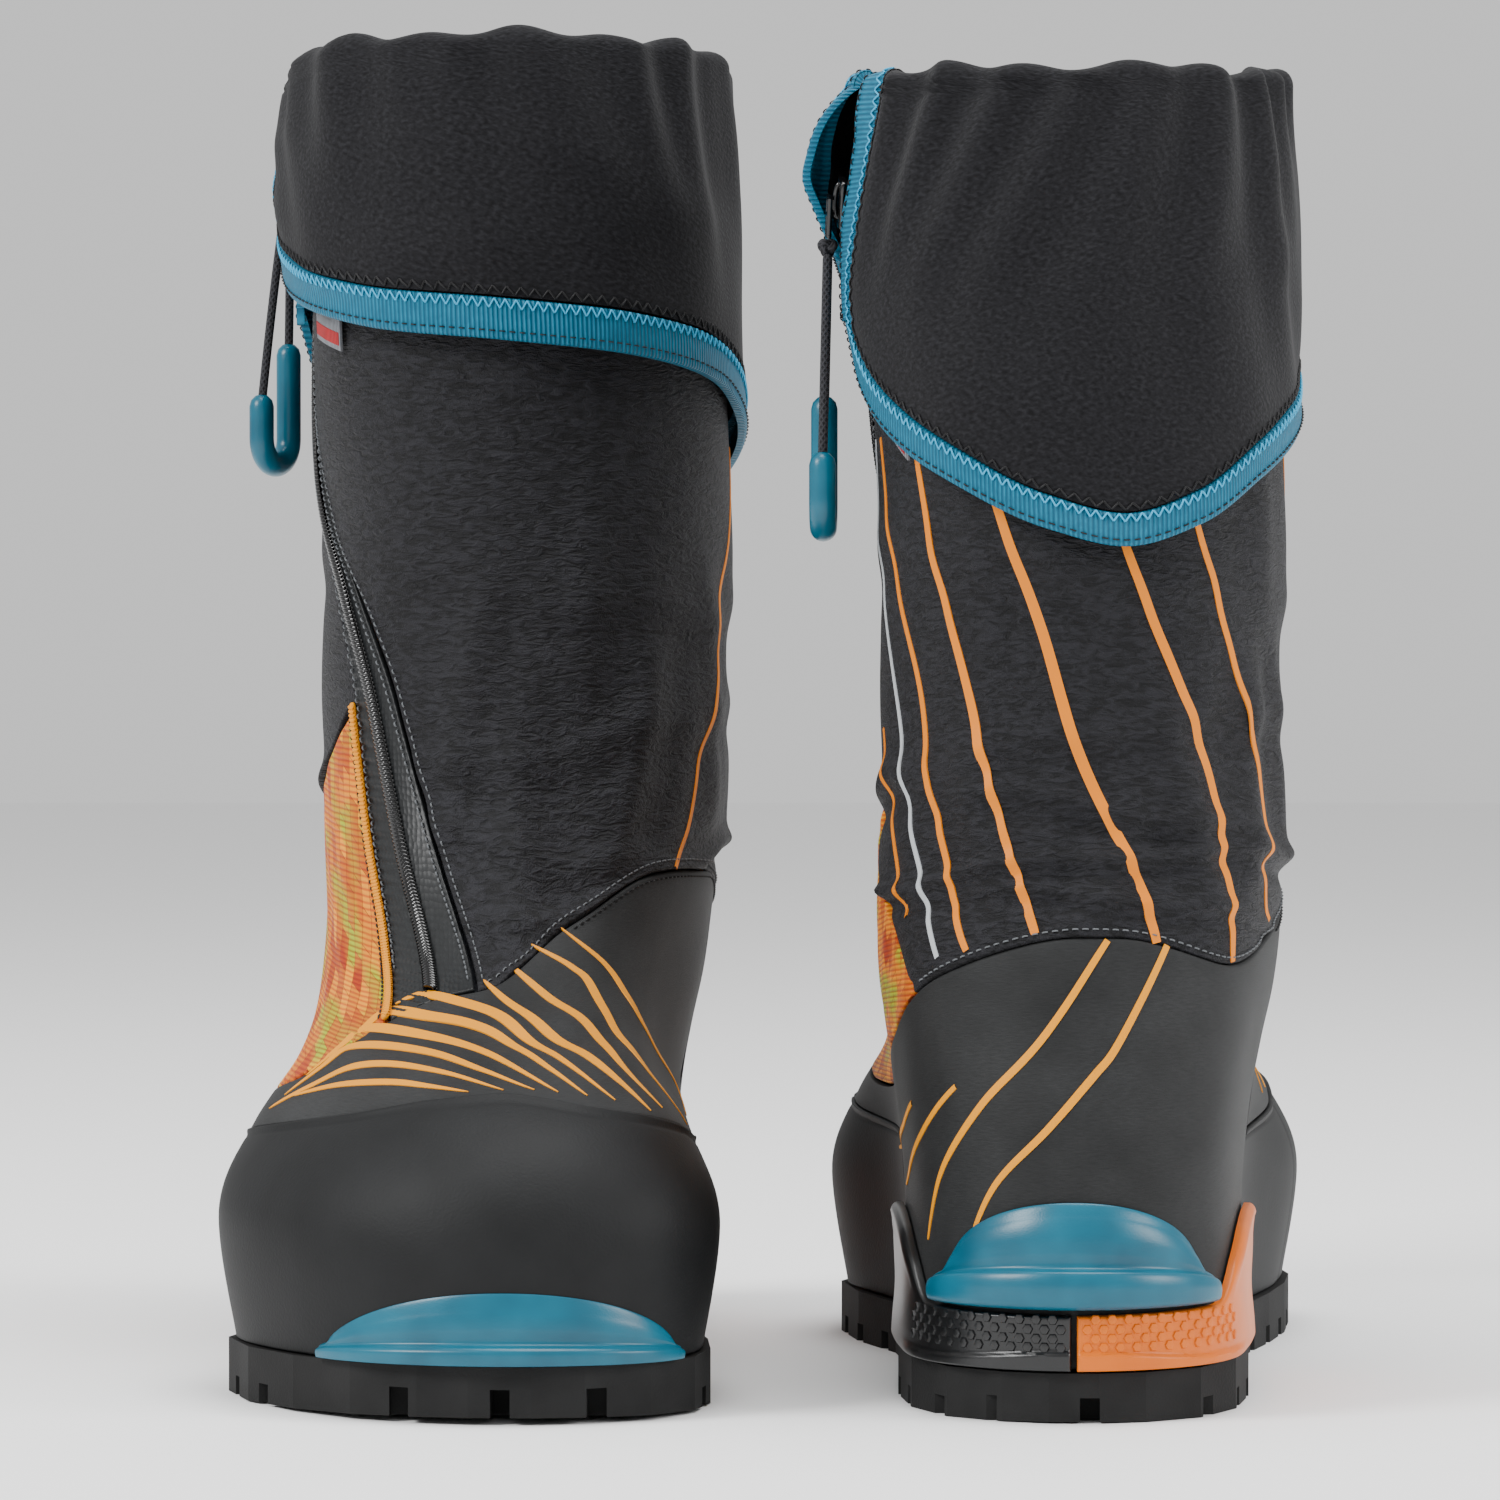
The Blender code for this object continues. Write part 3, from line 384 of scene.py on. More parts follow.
def line_through(places, count):
    """count points of the smooth curve through a few points."""
    points = np.array(places, float)
    t = np.linspace(0, len(points) - 1, count)
    i = np.minimum(t.astype(int), len(points) - 2)
    last = len(points) - 1
    near = [points[np.clip(i + k, 0, last)] for k in (-1, 0, 1, 2)]
    return spline(*near, (t - i)[:, None])


def march(points, pitch):
    """Places along a line of points at even distances, as fractional indices."""
    run = run_along(points)
    count = max(1, round(run[-1] / pitch))
    return np.interp(np.linspace(0, run[-1], count + 1), run, np.arange(len(points)))


def pick(values, index):
    """Rows of an array at fractional indices."""
    low = np.clip(index.astype(int), 0, len(values) - 2)
    share = index - low
    if values.ndim > 1:
        share = share[:, None]
    return values[low] * (1 - share) + values[low + 1] * share


def ribbon(patch, boot, places, width, relief, count=90):
    """A printed line: a thin domed strip on the surface, as wide as width(share) in mm."""
    angle, level = line_through(places, count).T
    out = form_normal(boot, angle, level)
    middle = off_form(boot, angle, level, relief(angle, level))
    side = unit(np.cross(np.gradient(middle, axis=0), out))
    half = width(np.linspace(0, 1, count)) / 2
    rows = [
        middle + side * (half * across)[:, None] + out * (rise * PRINT_LIFT)
        for across, rise in ((-1, -0.6), (-0.97, 0.8), (0, 1.0), (0.97, 0.8), (1, -0.6))
    ]
    patch.grid(np.array(rows))


def tube(patch, path, radius, sides=10):
    """A tube with round ends along a path."""
    ahead = unit(np.gradient(path, axis=0))
    radius = np.broadcast_to(np.asarray(radius, float), (len(path),))
    ends = np.radians([88, 60, 30])
    start = path[0] - ahead[0] * (np.sin(ends) * radius[0])[:, None]
    stop = path[-1] + ahead[-1] * (np.sin(ends[::-1]) * radius[-1])[:, None]
    girth = np.concatenate([np.cos(ends) * radius[0], radius, np.cos(ends[::-1]) * radius[-1]])
    line = np.concatenate([start, path, stop])
    ahead = np.concatenate([ahead[:1].repeat(3, 0), ahead, ahead[-1:].repeat(3, 0)])
    first = np.eye(3)[np.abs(ahead[0]).argmin()]
    frames = []
    for direction in ahead:
        first = first - direction * (first @ direction)
        first = first / np.linalg.norm(first)
        frames.append((first, np.cross(direction, first)))
    first, second = np.array(frames).transpose(1, 0, 2)
    turn = np.linspace(0, 2 * math.pi, sides, endpoint=False)[None, :, None]
    ring = first[:, None] * np.cos(turn) - second[:, None] * np.sin(turn)
    u, v = np.meshgrid(np.linspace(0, 2 * math.pi, sides + 1), run_along(line), indexing="xy")
    patch.grid(
        line[:, None] + ring * girth[:, None, None],
        u * radius.max() * MM, v * MM, wrap=True,
    )


def stitches(patch, starts, ends, out, radius, height=0.3):
    """One short thread for each start and end, arched out of the cloth."""
    share = np.array([0, 0.15, 0.5, 0.85, 1])[None, :, None]
    rise = np.array([-0.8, 0.5, 1, 0.5, -0.8])[None, :, None] * height
    middle = starts[:, None] * (1 - share) + ends[:, None] * share + out[:, None] * rise
    ahead = unit(ends - starts)
    beside = unit(np.cross(out, ahead))
    turn = np.linspace(0, 2 * math.pi, 6, endpoint=False)
    ring = (
        out[:, None] * np.cos(turn)[None, :, None] + beside[:, None] * np.sin(turn)[None, :, None]
    )
    points = middle[:, :, None] + ring[:, None] * radius
    for thread in points:
        patch.grid(thread, wrap=True)


def sew(patch, boot, places, pitch, base, radius, relief=None, count=160):
    """A line of running stitches on the surface, base above it."""
    angle, level = line_through(places, count).T
    offset = base + (relief(angle, level) if relief else np.zeros(count))
    points, out = off_form(boot, angle, level, offset), form_normal(boot, angle, level)
    index = march(points, pitch)
    stop = index[:-1] + np.diff(index) * STITCH_SHARE
    starts, ends = pick(points, index[:-1]), pick(points, stop)
    stitches(patch, starts, ends, unit(pick(out, stop)), radius)


def bar(patch, origin, axes, sections, sides=20):
    """A bar with rounded corners along a frame's third axis: sections are (z, x, y, half x, half
    y)."""
    turn = np.linspace(0, 2 * math.pi, sides, endpoint=False)
    x = np.sign(np.cos(turn)) * np.abs(np.cos(turn)) ** (2 / SQUARENESS)
    y = np.sign(np.sin(turn)) * np.abs(np.sin(turn)) ** (2 / SQUARENESS)
    closed = [(*sections[0][:3], 0, 0), *sections, (*sections[-1][:3], 0, 0)]
    rows = [
        origin + np.stack([cx + x * half_x, cy + y * half_y, np.full(sides, z)], 1) @ axes
        for z, cx, cy, half_x, half_y in closed
    ]
    patch.grid(np.array(rows), wrap=True)


# ---------------------------------------------------------------- finishes


def colour(code):
    """The linear colour of an sRGB hex code."""
    parts = [int(code[i : i + 2], 16) / 255 for i in (1, 3, 5)]
    return (*(c / 12.92 if c <= 0.04045 else ((c + 0.055) / 1.055) ** 2.4 for c in parts), 1.0)


def add(tree, kind, links=None, **settings):
    """Adds a node: links gives its sockets a value or another node's output."""
    made = tree.nodes.new("ShaderNode" + kind)
    for name, value in settings.items():
        setattr(made, name, value)
    for socket, value in (links or {}).items():
        if isinstance(value, bpy.types.NodeSocket):
            tree.links.new(value, made.inputs[socket])
        else:
            made.inputs[socket].default_value = value
    return made


def finish_of(name, base, roughness, specular=0.5, **sockets):
    """A material with its uniform values set on the shader. Returns it, its tree and shader."""
    made = bpy.data.materials.new(name)
    made.use_nodes = True
    made.diffuse_color = colour(base)
    shader = made.node_tree.nodes["Principled BSDF"]
    shader.inputs["Base Color"].default_value = colour(base)
    shader.inputs["Roughness"].default_value = roughness
    shader.inputs["Specular IOR Level"].default_value = specular
    for socket, value in sockets.items():
        shader.inputs[socket.replace("_", " ")].default_value = value
    return made, made.node_tree, shader


def millimetres(tree, on_cloth=True, stretch=(1, 1, 1), turn=0.0):
    """Coordinates in millimetres, on the cloth or in space, each axis times its stretch."""
    source = add(tree, "TexCoord").outputs["UV" if on_cloth else "Object"]
    scale = tuple(1000 * s for s in stretch)
    return add(
        tree, "Mapping", {"Vector": source, "Scale": scale, "Rotation": (0, 0, math.radians(turn))}
    ).outputs[0]


def raise_by(tree, shader, height, depth_mm, strength=1.0):
    """Bump of a real depth from a height of 0 to 1."""
    bump = add(tree, "Bump", {"Height": height, "Distance": depth_mm * MM, "Strength": strength})
    tree.links.new(bump.outputs["Normal"], shader.inputs["Normal"])


def blend(tree, value, low, high, kind="MIX"):
    """Mixes two colours by a value, or fully where there is none."""
    mix = add(tree, "Mix", data_type="RGBA", blend_type=kind)
    sockets = [socket for socket in mix.inputs if socket.type == "RGBA"]
    for socket, tone in zip(sockets, (low, high)):
        if isinstance(tone, bpy.types.NodeSocket):
            tree.links.new(tone, socket)
        else:
            socket.default_value = tone
    if value is None:
        mix.inputs[0].default_value = 1.0
    else:
        tree.links.new(value, mix.inputs[0])
    return next(output for output in mix.outputs if output.type == "RGBA")


def shade_between(tree, shader, value, low, high):
    """Base colour from low to high as value goes from 0 to 1."""
    tree.links.new(blend(tree, value, colour(low), colour(high)), shader.inputs["Base Color"])


def colour_steps(tree, value, stops):
    """A ramp between two colours, each at its own value."""
    ramp = add(tree, "ValToRGB", {"Fac": value})
    for point, (at, code) in zip(ramp.color_ramp.elements, stops):
        point.position, point.color = at, colour(code)
    return ramp.outputs["Color"]


def coated_fabric():
    """Polyurethane-coated nylon with a brushed face: fine streaks 0.3 mm apart, low sheen."""
    made, tree, shader = finish_of("coated_fabric", "#1B1C1C", 0.6, 0.18, Sheen_Weight=0.02)
    place = millimetres(tree, stretch=(0.35, 1.6, 1), turn=28)
    grain = add(tree, "TexNoise", {"Vector": place, "Scale": 1.3, "Detail": 5.0, "Roughness": 0.7})
    broad = add(tree, "TexNoise", {"Vector": millimetres(tree), "Scale": 0.05, "Detail": 2.0})
    both = add(
        tree, "Math", {0: grain.outputs["Fac"], 1: broad.outputs["Fac"]}, operation="MULTIPLY"
    )
    shade_between(tree, shader, both.outputs[0], "#0D0E0E", "#3C3D3E")
    raise_by(tree, shader, grain.outputs["Fac"], 0.12)
    return made


def crinkled_nylon():
    """Stretch nylon embossed with flat crinkles about 1 mm high that run round the leg, with
    painted highlight on their crests and painted shade in their troughs.
    """
    made, tree, shader = finish_of("crinkled_nylon", "#151517", 0.6, 0.16, Sheen_Weight=0.04)
    place = millimetres(tree, stretch=(0.32, 1.0, 1))
    crinkle = add(
        tree, "TexNoise",
        {"Vector": place, "Scale": 0.66, "Detail": 2.0, "Roughness": 0.5, "Distortion": 1.2},
    )
    fine = add(tree, "TexNoise", {"Vector": millimetres(tree), "Scale": 2.6, "Detail": 1.0})
    both = add(
        tree, "Math", {0: fine.outputs["Fac"], 1: 0.25, 2: crinkle.outputs["Fac"]},
        operation="MULTIPLY_ADD",
    )
    # Painted highlight and painted shade: the base colour is lighter on the crinkles' crests and
    # darker in their troughs, following the same height as the bump.
    tone = add(tree, "MapRange", {"Value": both.outputs[0], "From Min": 0.5, "From Max": 0.74})
    shade_between(tree, shader, tone.outputs[0], "#0C0C0E", "#1E1E22")
    raise_by(tree, shader, both.outputs[0], 1.3)
    return made


def stretch_knit():
    """Fine stretch twill. Its 0.3 mm yarns would not show, so the grain is drawn 1 mm long."""
    made, tree, shader = finish_of("stretch_knit", "#161618", 0.8, 0.12, Sheen_Weight=0.05)
    yarns = []
    for turn in (32, -58):
        place = millimetres(tree, stretch=(0.5, 1.5, 1), turn=turn)
        noise = add(tree, "TexNoise", {"Vector": place, "Scale": 1.25, "Detail": 1.0})
        yarns.append(noise.outputs["Fac"])
    weave = add(tree, "Math", {0: yarns[0], 1: yarns[1]}, operation="MULTIPLY")
    tone = add(tree, "MapRange", {"Value": weave.outputs[0], "From Min": 0.1, "From Max": 0.42})
    shade_between(tree, shader, tone.outputs[0], "#0A0A0C", "#1E1E21")
    raise_by(tree, shader, tone.outputs[0], 0.1)
    return made


def ribbed_tape(name, low, high, pitch=1.3):
    """Grosgrain tape: ribs across it, pitch mm apart, of shiny polyester."""
    made, tree, shader = finish_of(name, high, 0.5, 0.25, Sheen_Weight=0.03)
    place = millimetres(tree)
    ribs = add(
        tree, "TexWave", {"Vector": place, "Scale": 0.314 / pitch, "Distortion": 0.3},
        bands_direction="X",
    )
    worn = add(tree, "TexNoise", {"Vector": place, "Scale": 0.35, "Detail": 3.0})
    both = add(
        tree, "Math", {0: ribs.outputs["Fac"], 1: worn.outputs["Fac"]}, operation="MULTIPLY"
    )
    tone = add(tree, "MapRange", {"Value": both.outputs[0], "From Max": 0.7})
    shade_between(tree, shader, tone.outputs[0], low, high)
    raise_by(tree, shader, ribs.outputs["Fac"], 0.28)
    return made


def jacquard_weave():
    """Jacquard in slanted blocks 4 mm wide and 9 mm high, amber over deep orange, some towards
    lime, with weft ribs across them that are drawn 1.4 mm apart."""
    made, tree, shader = finish_of("jacquard_weave", "#DA7E04", 0.6, 0.2, Sheen_Weight=0.03)
    parts = add(tree, "SeparateXYZ", {0: millimetres(tree)})
    slant = add(
        tree, "Math", {0: parts.outputs[0], 1: 0.55, 2: parts.outputs[1]}, operation="MULTIPLY_ADD"
    )
    place = add(tree, "CombineXYZ", {0: slant.outputs[0], 1: parts.outputs[0]})
    tones = []
    for shift, low, high in ((0.0, "#A03000", "#E69400"), (0.2, "#C05400", "#9CA808")):
        blocks = add(
            tree, "TexBrick",
            {
                "Vector": place.outputs[0], "Color1": colour(low), "Color2": colour(high),
                "Mortar": colour("#8A3A00"), "Scale": 1.0, "Mortar Size": 0.12, "Bias": shift,
                "Brick Width": 9.0, "Row Height": 4.2,
            },
        )
        tones.append(blocks.outputs["Color"])
    patches = add(tree, "TexNoise", {"Vector": millimetres(tree), "Scale": 0.06, "Detail": 1.0})
    share = add(
        tree, "MapRange", {"Value": patches.outputs["Fac"], "From Min": 0.5, "From Max": 0.62}
    )
    tone = blend(tree, share.outputs[0], *tones)
    ribs = add(
        tree, "TexWave", {"Vector": millimetres(tree), "Scale": 0.22, "Distortion": 0.8},
        bands_direction="Y",
    )
    shadow = colour_steps(tree, ribs.outputs["Fac"], ((0.0, "#D8A070"), (0.6, "#FFFFFF")))
    final = blend(tree, None, tone, shadow, "MULTIPLY")
    tree.links.new(final, shader.inputs["Base Color"])
    raise_by(tree, shader, ribs.outputs["Fac"], 0.3)
    return made


def moulded(name, low, high, roughness, specular=0.35, grain_mm=0.5, depth=0.03):
    """Injection-moulded thermoplastic: an even colour, a spark-eroded grain and a satin gloss."""
    made, tree, shader = finish_of(name, high, roughness, specular)
    place = millimetres(tree, on_cloth=False)
    grain = add(tree, "TexNoise", {"Vector": place, "Scale": 1 / grain_mm, "Detail": 2.0})
    broad = add(tree, "TexNoise", {"Vector": place, "Scale": 0.06, "Detail": 2.0})
    tone = add(
        tree, "MapRange", {"Value": broad.outputs["Fac"], "From Min": 0.3, "From Max": 0.7}
    )
    shade_between(tree, shader, tone.outputs[0], low, high)
    raise_by(tree, shader, grain.outputs["Fac"], depth)
    return made


def rubberised_tape():
    """Zip tape with a rubber coat over its weave, slightly glossy and dimpled every 1.5 mm."""
    made, tree, shader = finish_of("rubberised_tape", "#1A1C1D", 0.4, 0.3)
    place = millimetres(tree)
    dimples = add(tree, "TexVoronoi", {"Vector": place, "Scale": 0.66, "Randomness": 0.4})
    shade_between(tree, shader, dimples.outputs["Distance"], "#1D1F20", "#101112")
    raise_by(tree, shader, dimples.outputs["Distance"], 0.15)
    return made


def braided_sheath(name, low, high):
    """Braided polyester cord: strands cross in diamonds, drawn 1.3 mm long."""
    made, tree, shader = finish_of(name, low, 0.7, 0.2, Sheen_Weight=0.05)
    crossing = []
    for turn in (38, -38):
        place = millimetres(tree, turn=turn)
        crossing.append(add(tree, "TexWave", {"Vector": place, "Scale": 0.26}).outputs["Fac"])
    both = add(tree, "Math", {0: crossing[0], 1: crossing[1]}, operation="MAXIMUM")
    shade_between(tree, shader, both.outputs[0], low, high)
    raise_by(tree, shader, both.outputs[0], 0.25)
    return made


def screen_print(name, code):
    """Rubbery print pressed on cloth: opaque, matt, with the weave just showing through."""
    made, tree, shader = finish_of(name, code, 0.55, 0.25)
    grain = add(
        tree, "TexNoise", {"Vector": millimetres(tree, on_cloth=False), "Scale": 1.5, "Detail": 2.0}
    )
    raise_by(tree, shader, grain.outputs["Fac"], 0.06)
    return made


def sewing_thread(name, code):
    """Twisted polyester thread with a soft shine."""
    made, tree, shader = finish_of(name, code, 0.5, 0.25, Sheen_Weight=0.05)
    twist = add(
        tree, "TexWave", {"Vector": millimetres(tree, on_cloth=False), "Scale": 0.8},
        bands_direction="DIAGONAL",
    )
    raise_by(tree, shader, twist.outputs["Fac"], 0.06)
    return made


def brushed_fleece(name, low, high):
    """Brushed lining: short tangled pile."""
    made, tree, shader = finish_of(name, low, 0.95, 0.15, Sheen_Weight=0.15)
    place = millimetres(tree, on_cloth=False)
    pile = add(tree, "TexNoise", {"Vector": place, "Scale": 0.9, "Detail": 5.0, "Roughness": 0.7})
    shade_between(tree, shader, pile.outputs["Fac"], low, high)
    raise_by(tree, shader, pile.outputs["Fac"], 0.5)
    return made


FINISHES = {
    "shell": coated_fabric(),
    "gaiter": crinkled_nylon(),
    "cuff": stretch_knit(),
    "binding": ribbed_tape("grosgrain_binding", "#004A64", "#007492"),
    "label": ribbed_tape("woven_label", "#54565A", "#8D9096", 0.9),
    "red_label": ribbed_tape("red_label_edge", "#7E1014", "#B8141C", 0.9),
    "trim": ribbed_tape("liner_webbing", "#A84E00", "#E88400", 1.6),
    "jacquard": jacquard_weave(),
    "teal": moulded("teal_thermoplastic", "#00485C", "#005C72", 0.33, 0.4),
    "orange": moulded("orange_thermoplastic", "#C65E00", "#D06600", 0.4, 0.3),
    "black_tpu": moulded("black_thermoplastic", "#0B0B0C", "#101112", 0.32, 0.5),
    "acetal": moulded("polished_acetal", "#060607", "#0A0A0B", 0.15, 0.5, depth=0.005),
    "rand": moulded("vulcanised_rubber", "#0D0E0F", "#131415", 0.6, 0.22, 0.8, 0.1),
    "tread": moulded("tread_rubber", "#161616", "#1F1F1F", 0.75, 0.2, 0.7, 0.12),
    "foam": moulded("moulded_foam", "#101010", "#181818", 0.9, 0.1, 0.5, 0.15),
    "board": moulded("carbon_board", "#0C0D0E", "#1A1B1D", 0.35, 0.5, 0.9, 0.05),
    "tape": rubberised_tape(),
    "cord": braided_sheath("braided_sheath", "#08080A", "#2A2A2E"),
    "amber": screen_print("amber_print", "#D68A00"),
    "gaiter_orange": screen_print("orange_print", "#D27600"),
    "white": screen_print("pale_print", "#A9ADB0"),
    "piping": screen_print("amber_piping", "#D48800"),
    "black_thread": sewing_thread("black_thread", "#0A0A0C"),
    "teal_thread": sewing_thread("teal_thread", "#2E9CC4"),
    "grey_thread": sewing_thread("grey_thread", "#5A5D60"),
    "liner": brushed_fleece("liner_fleece", "#0D0D0F", "#242428"),
    "felt": brushed_fleece("footbed_felt", "#2A2B2F", "#50525A"),
}


# ---------------------------------------------------------------- the lower boot


def shell_bottom(angle):
    """The shell starts above the rand at the front, and at the sole's edge round the heel."""
    angle = angle % 360
    front = (angle > RAND_FROM - 0.38) & (angle < RAND_TO + 0.38)
    return np.where(front, along(RAND_TOP, angle), 0.003)


def shell_relief(angle, level):
    """Shallow creases across the instep and a soft dip over the ankle."""
    angle = angle % 360
    creases = 0.5 * np.sin(level * 85 + 0.02 * angle)
    creases = creases * bell(level, 0.40, 0.07) * bell(angle, 185, 30)
    return creases + 0.5 * bell(angle, 60, 22) * bell(level, 0.25, 0.05)


def add_shell(boot):
    front = np.linspace(RAND_FROM - 0.3, RAND_TO + 0.3, 170)
    angles = np.concatenate([front, np.linspace(RAND_TO + 0.45, RAND_FROM + 359.55, 130)])

    def place(up, angle):
        low = shell_bottom(angle)
        return angle, low + (along(SHELL_TOP, angle % 360) - low) * up

    patch = Patch()
    skin(boot, patch, place, (44, 0), (90, 1), relief=shell_relief, around=angles)
    patch.make(boot, "shell", "shell", ["lower_shell"])
    add_shell_prints(boot)

    threads = Patch()
    top = [(a, float(along(SHELL_TOP, a % 360)) - 0.006) for a in range(200, 300, 5)]
    sew(threads, boot, top, 2.6, base=0.15, relief=shell_relief, count=300, radius=0.22)
    threads.make(boot, "shell_seam_stitches", "black_thread")


# Printed lines as (angle, level) points, each with its greatest width in mm. Those on the
# forefoot start under the gaiter and fan out to the rand, those on the heel start at the back.
FOREFOOT_LINES = (
    (2.4, (196, 0.53), (211, 0.485), (222, 0.43), (238, 0.33), (248, 0.25), (250, 0.20)),
    (2.8, (188, 0.515), (200, 0.487), (208, 0.45), (221, 0.325), (232, 0.235), (238, 0.20)),
    (3.3, (181, 0.497), (193, 0.453), (206, 0.393), (212, 0.312), (219, 0.24)),
    (3.8, (174, 0.475), (188, 0.42), (200, 0.355), (208, 0.29), (213, 0.24)),
    (4.2, (146, 0.425), (155, 0.448), (167, 0.443), (178, 0.425), (187, 0.388), (196, 0.33),
     (204, 0.262)),
    (4.4, (131, 0.315), (136, 0.362), (143, 0.41), (158, 0.415), (171, 0.408), (181, 0.385),
     (191, 0.325), (198, 0.272)),
    (4.4, (128, 0.275), (133, 0.333), (138, 0.375), (152, 0.385), (168, 0.375), (181, 0.335),
     (192, 0.28)),
    (4.0, (126, 0.243), (131, 0.293), (136, 0.335), (148, 0.352), (162, 0.348), (175, 0.32),
     (187, 0.285)),
    (3.4, (124, 0.222), (132, 0.263), (140, 0.302), (152, 0.319), (166, 0.312), (180, 0.285)),
    (2.8, (129, 0.245), (140, 0.273), (153, 0.288), (163, 0.287), (172, 0.281)),
)
HEEL_LINES = (
    (2.1, (354, 0.432), (7, 0.307), (19, 0.23), (30, 0.15), (36, 0.085)),
    (2.1, (342, 0.427), (351, 0.307), (356, 0.265), (5, 0.208), (16, 0.143), (23, 0.075)),
    (1.8, (25, 0.25), (38, 0.193), (52, 0.145), (60, 0.12)),
    (1.7, (44, 0.225), (60, 0.185), (76, 0.155), (88, 0.14)),
)
GAITER_LINES = (
    (2.2, (77, 0.676), (66, 0.61), (54, 0.542), (47, 0.473)),
    (2.4, (76, 0.84), (64, 0.78), (52, 0.718), (44, 0.65), (35, 0.578), (28, 0.48), (23, 0.42)),
    (2.8, (52, 0.838), (43, 0.78), (33, 0.72), (25, 0.66), (19, 0.60), (13, 0.508), (9, 0.44)),
    (3.0, (24, 0.818), (17, 0.777), (9, 0.728), (1, 0.65), (-7, 0.573), (-13, 0.492), (-16, 0.43)),
    (2.9, (-11, 0.787), (-27, 0.685), (-33, 0.60), (-35, 0.53), (-36, 0.46), (-37, 0.41)),
    (2.5, (-32, 0.797), (-49, 0.682), (-55, 0.60), (-53, 0.54), (-57, 0.475)),
    (1.5, (273, 0.84), (262, 0.79), (252, 0.755), (249, 0.71), (243, 0.66), (240, 0.60),
     (234, 0.568)),
)
PALE_LINE = (
    2.2, (84, 0.84), (78, 0.782), (68, 0.72), (59, 0.665), (50, 0.60), (42, 0.537), (36, 0.47),
    (31, 0.413),
)


def unwrapped(places):
    """Places with no jump of a whole turn between them."""
    angles = np.degrees(np.unwrap(np.radians([p[0] for p in places])))
    return [(a, p[1]) for a, p in zip(angles, places)]


def add_shell_prints(boot):
    patch = Patch()
    for width, *places in FOREFOOT_LINES:
        ribbon(
            patch, boot, unwrapped(places),
            lambda s, w=width: w * (0.06 + 0.94 * np.sin(np.pi * s**0.8) ** 0.9),
            relief=shell_relief,
        )
    for width, *places in HEEL_LINES:
        ribbon(
            patch, boot, unwrapped(places),
            lambda s, w=width: w * (0.25 + 0.75 * np.sin(np.pi * (0.15 + 0.85 * s)) ** 0.4),
            relief=shell_relief,
        )
    patch.make(boot, "shell_print", "amber")


def rand_relief(angle, level):
    """A lip along the rand's top with a groove below it, the toe cap's swell, and a joint line
    on each side of it."""
    top = along(RAND_TOP, angle)
    below = (top - level) * LOW_SPAN
    lip = 0.7 * bell(below, 1.6, 1.5) - 0.35 * bell(below, 4.6, 0.7)
    cap = 0.45 * bell(angle, 179, 34) * smooth_step(0.0, 0.05, level)
    joint = -0.5 * bell(angle, 118, 0.6) - 0.5 * bell(angle, 240, 0.6)
    return lip + cap + joint


def add_rand(boot):
    def place(up, across):
        angle = RAND_FROM + 0.7 + (RAND_TO - RAND_FROM - 1.4) * across
        return angle, (along(RAND_TOP, angle) - 0.0018) * up

    patch = Patch()
    skin(boot, patch, place, (52, 240), (85, 520), relief=rand_relief, radius=0.9)
    patch.make(boot, "rand", "rand", ["toe_rand"])


def ledge(boot, name, angles, profile, band, reach, dome_reach, node):
    """A crampon welt: a closed profile of (level, offset) points carried round the form. Its
    dome, above the band's top level, dies out before the band's ends."""
    loop = line_through([*profile, profile[0]], 12 * len(profile))[:-1]
    middle, base = (angles[0] + angles[-1]) / 2, profile[0][0]
    rows = []
    for angle in angles:
        arc = math.sqrt(1 - ((angle - middle) / reach) ** 2)
        left = 0.35 + 0.65 * arc
        swell = math.sqrt(max(0.0, 1 - (abs(angle - middle) / dome_reach) ** 2.4))
        dome = np.maximum(0, loop[:, 0] - band) * (0.1 + 0.9 * swell)
        rise = (np.minimum(loop[:, 0], band) - base + dome) * left
        rows.append(off_form(boot, angle, base + rise, 0.3 + (loop[:, 1] - 0.3) * left))
    first, last = (np.repeat(row.mean(0)[None], len(loop), 0) for row in (rows[0], rows[-1]))
    patch = Patch()
    patch.grid(np.array([first, *rows, last]), wrap=True)
    patch.make(boot, name, "teal", [node], closed=True, sharp=38)


def add_welts(boot):
    ledge(
        boot, "heel_crampon_welt", np.linspace(-30, 30, 81),
        ((0.049, 0.4), (0.0495, 4.6), (0.0525, 7.0), (0.059, 7.9), (0.066, 7.9), (0.0725, 6.9),
         (0.0755, 4.6), (0.085, 4.4), (0.098, 3.9), (0.112, 2.5), (0.121, 0.4)),
        0.0745, 31.5, 26.5, "heel_welt",
    )
    ledge(
        boot, "toe_crampon_welt", np.linspace(150, 211, 85),
        ((0.0025, 0.4), (0.0025, 5.0), (0.006, 5.8), (0.017, 5.8), (0.0215, 5.0), (0.025, 3.0),
         (0.036, 2.9), (0.047, 2.1), (0.056, 0.4)),
        0.025, 31.5, 29.0, "toe_welt",
    )


def counter_relief(angle, level):
    """The stabiliser's moulded shape: a full lower lip, a recessed band above it round the
    heel, and a rib along the wing's top."""
    turn = np.minimum(angle % 360, 360 - angle % 360)
    top = along(COUNTER_TOP, turn)
    rib = 0.8 * bell((top - level) * LOW_SPAN, 3.0, 1.8) * smooth_step(34, 46, turn)
    low = 0.021 - 0.008 * smooth_step(2, 30, turn)
    lip = 1.1 * smooth_step(low + 0.0015, low - 0.0015, level) * smooth_step(48, 34, turn)
    return rib + lip - 0.7 * bell(turn, 60, 12) * bell(level, 0.045, 0.018)


